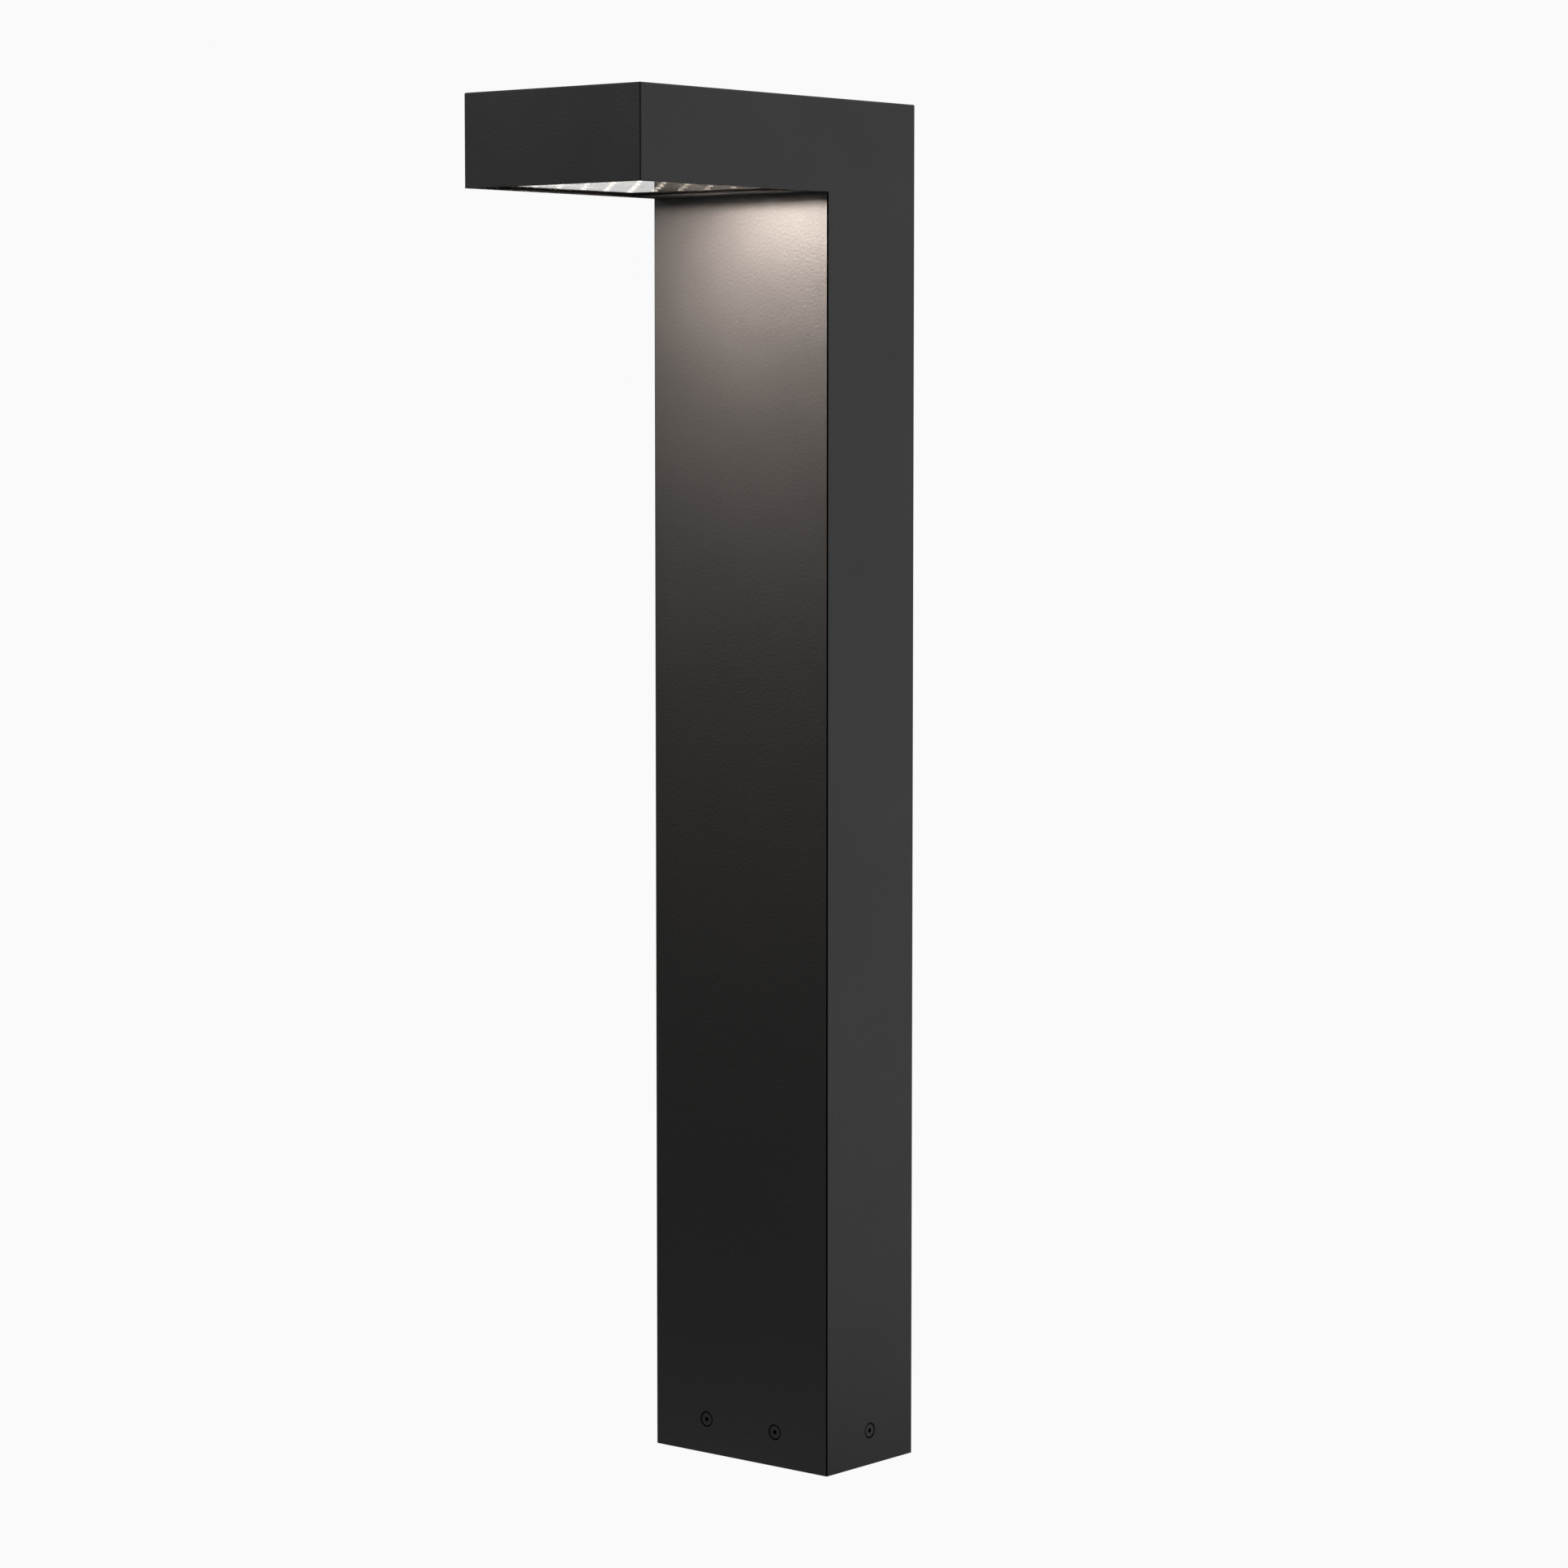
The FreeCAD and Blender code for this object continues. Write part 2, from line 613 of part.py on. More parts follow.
def make_wire_grommet():
    """Rubber grommet in the cross plate."""
    low = COLUMN_HEIGHT - GROMMET_FLANGE_HEIGHT
    full = WALL + 2 * GROMMET_FLANGE_HEIGHT
    body = rod(GROMMET_HOLE_RADIUS - SEAT, V(0, 0, low), Z_AXIS, full)
    under = rod(GROMMET_FLANGE_RADIUS, V(0, 0, low), Z_AXIS, GROMMET_FLANGE_HEIGHT)
    over = rod(GROMMET_FLANGE_RADIUS, V(0, 0, CROSS_PLATE_TOP), Z_AXIS, GROMMET_FLANGE_HEIGHT)
    return cut(join(body, [under, over]), [rod(GROMMET_BORE_RADIUS, V(0, 0, low), Z_AXIS, full)])


def make_vent_plug():
    """Breather with slots round its cap, facing down into the column."""
    seat = V(VENT_X, VENT_Y, COLUMN_HEIGHT)
    bottom = seat - Z_AXIS * VENT_CAP_HEIGHT
    cap = rod(VENT_CAP_RADIUS, bottom, Z_AXIS, VENT_CAP_HEIGHT)
    stem = rod(VENT_STEM_RADIUS, seat, Z_AXIS, WALL + VENT_STEM_REACH)
    half = VENT_SLOT_WIDTH / 2
    slots = [block(VENT_X - VENT_CAP_RADIUS, VENT_X + VENT_CAP_RADIUS, VENT_Y - half, VENT_Y + half,
                   bottom.z, bottom.z + VENT_SLOT_DEPTH)]
    slots.append(block(VENT_X - half, VENT_X + half, VENT_Y - VENT_CAP_RADIUS, VENT_Y + VENT_CAP_RADIUS,
                       bottom.z, bottom.z + VENT_SLOT_DEPTH))
    return cut(join(cap, [stem]), slots)


def make_vent_locknut():
    """Hexagon nut that holds the breather from above."""
    seat = V(VENT_X, VENT_Y, CROSS_PLATE_TOP)
    bore = rod(VENT_STEM_RADIUS + SEAT, seat, Z_AXIS, VENT_NUT_HEIGHT)
    return hexagon(VENT_NUT_ACROSS, seat, V(Z_AXIS), VENT_NUT_HEIGHT).cut(bore)


# ---- base ----
def make_anchor_plate():
    """Steel plate bolted to the foundation, with a hole for the supply cable."""
    plate = round_edges(centred(BASE_X, BASE_Y, 0, PLATE_THICKNESS), PLATE_CORNER, is_upright)
    holes = [rod(CABLE_HOLE_RADIUS, V(0, 0, 0), Z_AXIS, PLATE_THICKNESS)]
    holes += [rod(ANCHOR_HOLE_RADIUS, V(x, y, 0), Z_AXIS, PLATE_THICKNESS) for x, y in anchor_sites()]
    depth = TRAY_FOOT_SCREW_BITE + HOLE_CLEARANCE
    for seat in tray_foot_seats():
        holes.append(rod(M4_RADIUS + SEAT, V(seat.x, seat.y, PLATE_THICKNESS - depth), Z_AXIS, depth))
    return cut(plate, holes)


def make_base_upstand():
    """Welded frame that the column slides over."""
    outer = round_edges(centred(BASE_X, BASE_Y, PLATE_THICKNESS, UPSTAND_TOP), PLATE_CORNER, is_upright)
    tools = [centred(UPSTAND_X, UPSTAND_Y, PLATE_THICKNESS, UPSTAND_TOP)]
    for site, inward in column_screw_sites():
        start = site + inward * WALL
        tools.append(rod(CLINCH_PILOT_RADIUS + SEAT, start, inward, BASE_CLEARANCE + UPSTAND_WALL))
    return cut(outer, tools)


def make_clinch_nuts():
    """Threaded inserts pressed into the upstand from inside."""
    nuts = []
    for site, inward in column_screw_sites():
        face = site + inward * (WALL + BASE_CLEARANCE + UPSTAND_WALL)
        pilot = rod(CLINCH_PILOT_RADIUS, face - inward * CLINCH_PILOT_LENGTH, inward, CLINCH_PILOT_LENGTH)
        body = rod(CLINCH_BODY_RADIUS, face, inward, CLINCH_BODY_LENGTH)
        bore_length = CLINCH_PILOT_LENGTH + CLINCH_BODY_LENGTH
        bore = rod(M5_RADIUS + SEAT, face - inward * CLINCH_PILOT_LENGTH, inward, bore_length)
        nuts.append(cut(join(pilot, [body]), [bore]))
    return nuts


def make_countersunk_screws():
    """Hexagon-socket countersunk screws, set just under the surface."""
    screws = []
    for site, inward in column_screw_sites():
        top = site + inward * M5_HEAD_RECESS
        head = Part.makeCone(M5_HEAD_RADIUS, M5_RADIUS, M5_HEAD_RADIUS - M5_RADIUS, top, inward)
        shank = rod(M5_RADIUS, top, inward, M5_LENGTH)
        socket = hexagon(M5_SOCKET_ACROSS, top, V(inward), M5_SOCKET_DEPTH)
        screws.append(cut(head.fuse(shank), [socket]))
    return screws


# ---- gear tray ----
def tray_foot_seats():
    """Seats of the two screws through the foot of the tray."""
    y = TRAY_BACK_Y + TRAY_FOOT_DEPTH / 2
    z = PLATE_THICKNESS + TRAY_SHEET
    return [V(x, y, z) for x in (-TRAY_FOOT_SCREW_X, TRAY_FOOT_SCREW_X)]


def make_gear_tray():
    """Folded sheet channel with a foot and a shelf for the gland."""
    half = TRAY_WIDTH / 2
    sheet = block(-half, half, TRAY_FACE_Y, TRAY_BACK_Y, PLATE_THICKNESS, TRAY_TOP)
    flange_back = TRAY_BACK_Y + TRAY_FLANGE
    folds = []
    for x0 in (-half, half - TRAY_SHEET):
        folds.append(block(x0, x0 + TRAY_SHEET, TRAY_FACE_Y, flange_back, UPSTAND_TOP, TRAY_TOP))
    foot_back = TRAY_BACK_Y + TRAY_FOOT_DEPTH
    folds.append(block(-half, half, TRAY_FACE_Y, foot_back, PLATE_THICKNESS, PLATE_THICKNESS + TRAY_SHEET))
    half_shelf = SHELF_WIDTH / 2
    shelf_front = TRAY_FACE_Y - SHELF_DEPTH
    folds.append(block(-half_shelf, half_shelf, shelf_front, TRAY_BACK_Y, SHELF_HEIGHT, SHELF_TOP))
    holes = [rod(GLAND_THREAD_RADIUS + SEAT, V(0, 0, SHELF_HEIGHT), Z_AXIS, TRAY_SHEET)]
    for x, z in gear_screw_sites():
        holes.append(m4_hole(V(x, TRAY_FACE_Y, z), Y_AXIS, TRAY_SHEET))
    holes.append(m4_hole(V(0, TRAY_FACE_Y, EARTH_HEIGHT), Y_AXIS, TRAY_SHEET))
    for seat in tray_foot_seats():
        holes.append(m4_hole(V(seat.x, seat.y, PLATE_THICKNESS), Z_AXIS, TRAY_SHEET))
    return cut(join(sheet, folds), holes)


def make_tray_foot_screws():
    """Screws from the tray foot into the anchor plate."""
    length = TRAY_SHEET + TRAY_FOOT_SCREW_BITE
    return [m4_screw(seat, -V(Z_AXIS), length) for seat in tray_foot_seats()]


def make_gear_screws():
    """Screws that clamp the tabs of the gear to the tray."""
    seat_y = TRAY_FACE_Y - TAB_THICKNESS
    length = TAB_THICKNESS + TRAY_SHEET + M4_NUT_HEIGHT
    return [m4_screw(V(x, seat_y, z), V(Y_AXIS), length) for x, z in gear_screw_sites()]


def make_gear_nuts():
    """Nuts behind the tray."""
    return [m4_nut(V(x, TRAY_BACK_Y, z), V(Y_AXIS)) for x, z in gear_screw_sites()]


# ---- gear ----
def make_driver_case():
    """Ribbed aluminium case of the LED driver, potted inside."""
    half = DRIVER_WIDTH / 2
    front = TRAY_FACE_Y - DRIVER_DEPTH
    top = DRIVER_CASE_BOTTOM + DRIVER_CASE_LENGTH
    case = block(-half, half, front, TRAY_FACE_Y, DRIVER_CASE_BOTTOM, top)
    case = round_edges(case, DRIVER_CASE_CORNER, lambda a, b: is_upright(a, b) and max(a.y, b.y) < 0)
    grooves = []
    for i in range(DRIVER_RIB_COUNT):
        x0 = (i - DRIVER_RIB_COUNT / 2) * DRIVER_RIB_PITCH + DRIVER_RIB_PITCH / 4
        grooves.append(block(x0, x0 + DRIVER_RIB_PITCH / 2, front, front + DRIVER_RIB_DEPTH,
                             DRIVER_CASE_BOTTOM, top))
    return cut(case, grooves)


def driver_cap(z0, z1, tab0, tab1):
    """End cap of the driver with its fixing tab."""
    half = DRIVER_WIDTH / 2
    front = TRAY_FACE_Y - DRIVER_DEPTH
    body = block(-half, half, front, TRAY_FACE_Y, z0, z1)
    body = round_edges(body, DRIVER_CASE_CORNER, lambda a, b: is_upright(a, b) and max(a.y, b.y) < 0)
    half_tab = DRIVER_TAB_WIDTH / 2
    tab = block(-half_tab, half_tab, TRAY_FACE_Y - TAB_THICKNESS, TRAY_FACE_Y, tab0, tab1)
    hole = m4_hole(V(0, TRAY_FACE_Y - TAB_THICKNESS, (tab0 + tab1) / 2), Y_AXIS, TAB_THICKNESS)
    return cut(join(body, [tab]), [hole])


def make_driver_end_caps():
    """Output cap at the top and input cap at the bottom, each with two lead entries."""
    top = DRIVER_TOP - DRIVER_CAP_LENGTH
    upper = driver_cap(top, DRIVER_TOP, DRIVER_TOP, DRIVER_TOP + DRIVER_TAB_LENGTH)
    lower = driver_cap(DRIVER_BOTTOM, DRIVER_CASE_BOTTOM, DRIVER_BOTTOM - DRIVER_TAB_LENGTH, DRIVER_BOTTOM)
    depth = LEAD_INSERT + SEAT
    upper = cut(upper, lead_entries(lead_sites(), 0.0, DRIVER_TOP - depth, depth))
    lower = cut(lower, mains_entries(DRIVER_BOTTOM, depth))
    return [upper, lower]


def lead_entries(columns, y, z0, depth):
    """Upright entry holes for a row of leads."""
    return [rod(LEAD_ENTRY_RADIUS, V(x, y, z0), Z_AXIS, depth) for x in columns]


def mains_entries(z0, depth):
    """Entry holes of the two mains leads."""
    return lead_entries((-MAINS_LEAD_X, MAINS_LEAD_X), MAINS_LEAD_Y, z0, depth)


def make_surge_protector():
    """Sealed surge protector with a fixing tab on each side."""
    half = SURGE_WIDTH / 2
    body = block(-half, half, TRAY_FACE_Y - SURGE_DEPTH, TRAY_FACE_Y, SURGE_BOTTOM, SURGE_TOP)
    body = round_edges(body, SURGE_CORNER, lambda a, b: is_upright(a, b) and max(a.y, b.y) < 0)
    reach = half + SURGE_TAB_REACH
    tab_face = TRAY_FACE_Y - TAB_THICKNESS
    tab_low = SURGE_SCREW_Z - SURGE_TAB_REACH
    tab_high = SURGE_SCREW_Z + SURGE_TAB_REACH
    tab = block(-reach, reach, tab_face, TRAY_FACE_Y, tab_low, tab_high)
    depth = LEAD_INSERT + SEAT
    holes = mains_entries(SURGE_BOTTOM, depth)
    for x in (-SIDE_SCREW_X, SIDE_SCREW_X):
        holes.append(m4_hole(V(x, tab_face, SURGE_SCREW_Z), Y_AXIS, TAB_THICKNESS))
    holes += mains_entries(SURGE_TOP - depth, depth)
    return cut(join(body, [tab]), holes)


def clamp_sites():
    """Front points of the six clamp screws of the terminal block."""
    front = TRAY_FACE_Y - BLOCK_DEPTH
    rows = (BLOCK_BOTTOM + CLAMP_INSET, BLOCK_TOP - CLAMP_INSET)
    return [V(x, front, z) for x in clamp_columns() for z in rows]


def make_terminal_block():
    """Three-pole terminal block with lowered fixing ears."""
    half = BLOCK_WIDTH / 2
    front = TRAY_FACE_Y - BLOCK_DEPTH
    body = block(-half, half, front, TRAY_FACE_Y, BLOCK_BOTTOM, BLOCK_TOP)
    ear_face = TRAY_FACE_Y - TAB_THICKNESS
    tools = []
    for x0 in (-half, half - BLOCK_EAR_WIDTH):
        tools.append(block(x0, x0 + BLOCK_EAR_WIDTH, front, ear_face, BLOCK_BOTTOM, BLOCK_TOP))
    for x in (-SIDE_SCREW_X, SIDE_SCREW_X):
        tools.append(m4_hole(V(x, ear_face, BLOCK_SCREW_Z), Y_AXIS, TAB_THICKNESS))
    for x in clamp_columns():
        for z in (BLOCK_BOTTOM, BLOCK_TOP - BLOCK_ENTRY_DEPTH):
            tools.append(rod(BLOCK_ENTRY_RADIUS, V(x, MAINS_LEAD_Y, z), Z_AXIS, BLOCK_ENTRY_DEPTH))
    for site in clamp_sites():
        tools.append(rod(CLAMP_WELL_RADIUS, site, Y_AXIS, CLAMP_WELL_DEPTH))
    return cut(body, tools)


def make_terminal_clamps():
    """Slotted clamp screws in the wells of the terminal block."""
    half = CLAMP_SLOT / 2
    reach = CLAMP_RADIUS
    screws = []
    for site in clamp_sites():
        top = site + Y_AXIS * (CLAMP_WELL_DEPTH - CLAMP_LENGTH)
        screw = rod(CLAMP_RADIUS, top, Y_AXIS, CLAMP_LENGTH)
        slot = block(top.x - reach, top.x + reach, top.y, top.y + CLAMP_SLOT, top.z - half, top.z + half)
        screws.append(screw.cut(slot))
    return screws


def make_mains_lead(x):
    """Two runs of one mains core: block to surge protector, surge protector to driver."""
    low = V(x, MAINS_LEAD_Y, BLOCK_TOP - LEAD_INSERT)
    into = V(x, MAINS_LEAD_Y, SURGE_BOTTOM + LEAD_INSERT)
    out = V(x, MAINS_LEAD_Y, SURGE_TOP - LEAD_INSERT)
    high = V(x, MAINS_LEAD_Y, DRIVER_BOTTOM + LEAD_INSERT)
    return [lead([low, into], LEAD_BEND), lead([out, high], LEAD_BEND)]


# ---- protective earth ----
def make_earth_stud():
    """Stud fixed through the tray with a thin head behind."""
    shank = rod(M4_RADIUS, V(0, TRAY_BACK_Y - EARTH_STUD_LENGTH, EARTH_HEIGHT), Y_AXIS, EARTH_STUD_LENGTH)
    head = rod(M4_HEAD_RADIUS, V(0, TRAY_BACK_Y, EARTH_HEIGHT), Y_AXIS, EARTH_STUD_HEAD)
    return join(shank, [head])


def make_earth_washer():
    """Plain washer against the tray."""
    start = V(0, TRAY_FACE_Y - WASHER_THICKNESS, EARTH_HEIGHT)
    washer = rod(WASHER_RADIUS, start, Y_AXIS, WASHER_THICKNESS)
    return washer.cut(rod(M4_RADIUS + SEAT, start, Y_AXIS, WASHER_THICKNESS))


def ring_plane_y():
    """Back face of the ring terminal."""
    return TRAY_FACE_Y - WASHER_THICKNESS


def make_earth_ring_terminal():
    """Crimped ring terminal on the stud."""
    back = ring_plane_y()
    front = back - RING_THICKNESS
    ring = rod(RING_RADIUS, V(0, front, EARTH_HEIGHT), Y_AXIS, RING_THICKNESS)
    middle = back - RING_BARREL_RADIUS
    low = EARTH_HEIGHT - RING_RADIUS - RING_BARREL_LENGTH
    barrel = rod(RING_BARREL_RADIUS, V(0, middle, low), Z_AXIS, RING_BARREL_LENGTH)
    neck_low = EARTH_HEIGHT - RING_RADIUS - LEAD_INSERT / 2
    neck = block(-RING_BARREL_RADIUS, RING_BARREL_RADIUS, front, back, neck_low, EARTH_HEIGHT)
    tools = [rod(M4_RADIUS + SEAT, V(0, front, EARTH_HEIGHT), Y_AXIS, RING_THICKNESS)]
    tools.append(rod(LEAD_ENTRY_RADIUS, V(0, middle, low), Z_AXIS, LEAD_INSERT + SEAT))
    return cut(join(ring, [barrel, neck]), tools)


def make_earth_nut():
    """Nut that clamps the ring terminal."""
    return m4_nut(V(0, ring_plane_y() - RING_THICKNESS, EARTH_HEIGHT), -V(Y_AXIS))


def make_earth_lead():
    """Earth lead from the middle pole up to the ring terminal."""
    low = EARTH_HEIGHT - RING_RADIUS - RING_BARREL_LENGTH
    plane = ring_plane_y() - RING_BARREL_RADIUS
    points = [V(0, MAINS_LEAD_Y, BLOCK_TOP - LEAD_INSERT), V(0, MAINS_LEAD_Y, BLOCK_TOP + EARTH_LEAD_RISE)]
    points += [V(0, plane, low - EARTH_LEAD_RISE), V(0, plane, low + LEAD_INSERT)]
    return lead(points, EARTH_LEAD_BEND)


# ---- cable gland ----
def make_gland_body():
    """Gland body: neck below, hexagon under the shelf, thread through it."""
    hex_bottom = SHELF_HEIGHT - GLAND_HEX_HEIGHT
    neck_bottom = hex_bottom - GLAND_NECK_LENGTH
    full = SHELF_TOP + GLAND_TOP_LENGTH - neck_bottom
    nut = hexagon(GLAND_HEX_ACROSS, V(0, 0, hex_bottom), V(Z_AXIS), GLAND_HEX_HEIGHT)
    neck = rod(GLAND_NECK_RADIUS, V(0, 0, neck_bottom), Z_AXIS, GLAND_NECK_LENGTH)
    thread = rod(GLAND_THREAD_RADIUS, V(0, 0, SHELF_HEIGHT), Z_AXIS, TRAY_SHEET + GLAND_TOP_LENGTH)
    bore = rod(GLAND_BORE_RADIUS, V(0, 0, neck_bottom), Z_AXIS, full)
    seal_room = rod(GLAND_BORE_RADIUS + GLAND_SEAL_WALL, V(0, 0, neck_bottom), Z_AXIS, GLAND_NECK_LENGTH)
    return cut(join(nut, [neck, thread]), [bore, seal_room])


def make_gland_seal():
    """Rubber sealing sleeve inside the neck."""
    start = V(0, 0, SHELF_HEIGHT - GLAND_HEX_HEIGHT - GLAND_NECK_LENGTH)
    sleeve = rod(GLAND_BORE_RADIUS + GLAND_SEAL_WALL - SEAT, start, Z_AXIS, GLAND_NECK_LENGTH - SEAT)
    return sleeve.cut(rod(GLAND_BORE_RADIUS - SEAT, start, Z_AXIS, GLAND_NECK_LENGTH - SEAT))


def make_gland_dome_nut():
    """Dome nut over the neck, pointing down to the supply cable."""
    top = SHELF_HEIGHT - GLAND_HEX_HEIGHT - SEAT
    low = top - GLAND_DOME_HEIGHT
    dome = rod(GLAND_DOME_RADIUS, V(0, 0, low), Z_AXIS, GLAND_DOME_HEIGHT)
    rim = [edge for edge in dome.Edges if abs(edge.CenterOfMass.z - low) < SEAT and edge.Closed]
    dome = dome.makeFillet(GLAND_DOME_ROUND, rim)
    room = GLAND_NECK_LENGTH + SEAT
    inside = rod(GLAND_NECK_RADIUS + SEAT, V(0, 0, top - room), Z_AXIS, room)
    return cut(dome, [inside, rod(GLAND_BORE_RADIUS, V(0, 0, low), Z_AXIS, GLAND_DOME_HEIGHT)])


def make_gland_locknut():
    """Locknut above the shelf."""
    seat = V(0, 0, SHELF_TOP)
    bore = rod(GLAND_THREAD_RADIUS + SEAT, seat, Z_AXIS, GLAND_NUT_HEIGHT)
    return hexagon(GLAND_HEX_ACROSS, seat, V(Z_AXIS), GLAND_NUT_HEIGHT).cut(bore)


# ---- the assembly ----
def build_all():
    """Every node and its solids."""
    negative, positive = lead_sites()
    return {
        "column_tube": make_column_tube(),
        "head_shell": make_head_shell(),
        "cover_glass": make_cover_glass(),
        "glass_gasket": make_glass_gasket(),
        "glass_ledge": make_glass_ledge(),
        "reflector_frame": make_reflector_frame(),
        "lens_array": make_lens_array(),
        "led_board": make_led_board(),
        "led_packages": make_led_packages(),
        "thermal_pad": make_thermal_pad(),
        "heat_sink": make_heat_sink(),
        "module_standoffs": make_module_standoffs(),
        "module_screws": make_module_screws(),
        "lens_screws": make_lens_screws(),
        "board_connector": make_board_connector(),
        "lead_positive": make_low_voltage_lead(positive),
        "lead_negative": make_low_voltage_lead(negative),
        "wire_grommet": make_wire_grommet(),
        "vent_plug": make_vent_plug(),
        "vent_locknut": make_vent_locknut(),
        "anchor_plate": make_anchor_plate(),
        "base_upstand": make_base_upstand(),
        "clinch_nuts": make_clinch_nuts(),
        "countersunk_screws": make_countersunk_screws(),
        "gear_tray": make_gear_tray(),
        "tray_foot_screws": make_tray_foot_screws(),
        "gear_screws": make_gear_screws(),
        "gear_nuts": make_gear_nuts(),
        "driver_case": make_driver_case(),
        "driver_end_caps": make_driver_end_caps(),
        "surge_protector": make_surge_protector(),
        "terminal_block": make_terminal_block(),
        "terminal_clamps": make_terminal_clamps(),
        "mains_lead_live": make_mains_lead(MAINS_LEAD_X),
        "mains_lead_neutral": make_mains_lead(-MAINS_LEAD_X),
        "earth_stud": make_earth_stud(),
        "earth_washer": make_earth_washer(),
        "earth_ring_terminal": make_earth_ring_terminal(),
        "earth_nut": make_earth_nut(),
        "earth_lead": make_earth_lead(),
        "gland_body": make_gland_body(),
        "gland_seal": make_gland_seal(),
        "gland_dome_nut": make_gland_dome_nut(),
        "gland_locknut": make_gland_locknut(),
    }


def export(name, shape):
    """Write one node; a list becomes a group of separate solids."""
    if isinstance(shape, list):
        shape = Part.makeCompound([solid for item in shape for solid in item.Solids])
    if len(shape.Solids) == 1:
        shape = shape.Solids[0]
    shape.exportStep(os.path.join("parts", name + ".step"))


def main():
    """Build and write every node."""
    os.makedirs("parts", exist_ok=True)
    for name, shape in build_all().items():
        export(name, shape)


main()
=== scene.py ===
import logging
import math
from dataclasses import dataclass, field
from enum import Enum

import bmesh
import bpy
from mathutils import Matrix, Vector


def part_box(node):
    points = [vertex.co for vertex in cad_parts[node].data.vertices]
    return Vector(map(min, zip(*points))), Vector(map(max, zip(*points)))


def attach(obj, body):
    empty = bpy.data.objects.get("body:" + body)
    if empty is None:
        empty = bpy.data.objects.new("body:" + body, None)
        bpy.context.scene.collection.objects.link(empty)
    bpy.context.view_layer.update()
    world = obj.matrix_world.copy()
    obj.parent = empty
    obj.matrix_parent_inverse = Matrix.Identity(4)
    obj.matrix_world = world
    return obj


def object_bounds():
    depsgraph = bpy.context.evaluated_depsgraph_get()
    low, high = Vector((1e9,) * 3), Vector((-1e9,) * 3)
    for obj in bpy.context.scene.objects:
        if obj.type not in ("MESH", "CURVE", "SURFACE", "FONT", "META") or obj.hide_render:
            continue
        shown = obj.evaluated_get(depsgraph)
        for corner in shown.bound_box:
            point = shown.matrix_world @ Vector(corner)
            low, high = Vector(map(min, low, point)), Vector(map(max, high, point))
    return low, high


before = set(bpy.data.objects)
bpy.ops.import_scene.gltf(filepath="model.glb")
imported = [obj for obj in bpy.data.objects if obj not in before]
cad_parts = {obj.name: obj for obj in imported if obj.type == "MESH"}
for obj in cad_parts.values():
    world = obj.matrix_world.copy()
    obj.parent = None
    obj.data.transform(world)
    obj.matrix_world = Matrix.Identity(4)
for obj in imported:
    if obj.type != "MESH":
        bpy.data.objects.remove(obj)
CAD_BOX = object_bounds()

MM = 0.001
LOG = logging.getLogger("bollard_light")
Colour = tuple[float, float, float]
Triple = tuple[float, float, float]
Span = tuple[float, float]
WHITE: Colour = (1.0, 1.0, 1.0)
MIX_COLOURS = (6, 7)
MIX_COLOUR_OUT = 2
MIX_NUMBERS = (2, 3)
BEVEL_STEPS = 2


class Lay(Enum):
    """Direction in which a metal's grain is drawn out."""

    EVEN = (1.0, 1.0, 1.0)
    UPRIGHT = (1.0, 1.0, 0.06)
    ACROSS = (0.06, 1.0, 1.0)
    FORWARD = (1.0, 0.06, 1.0)


class Effect(Enum):
    """Shader node groups that several finishes share."""

    PEEL = "orange_peel"
    GRAIN = "drawn_grain"
    MOTTLE = "soft_mottle"
    DUST = "ground_dust"


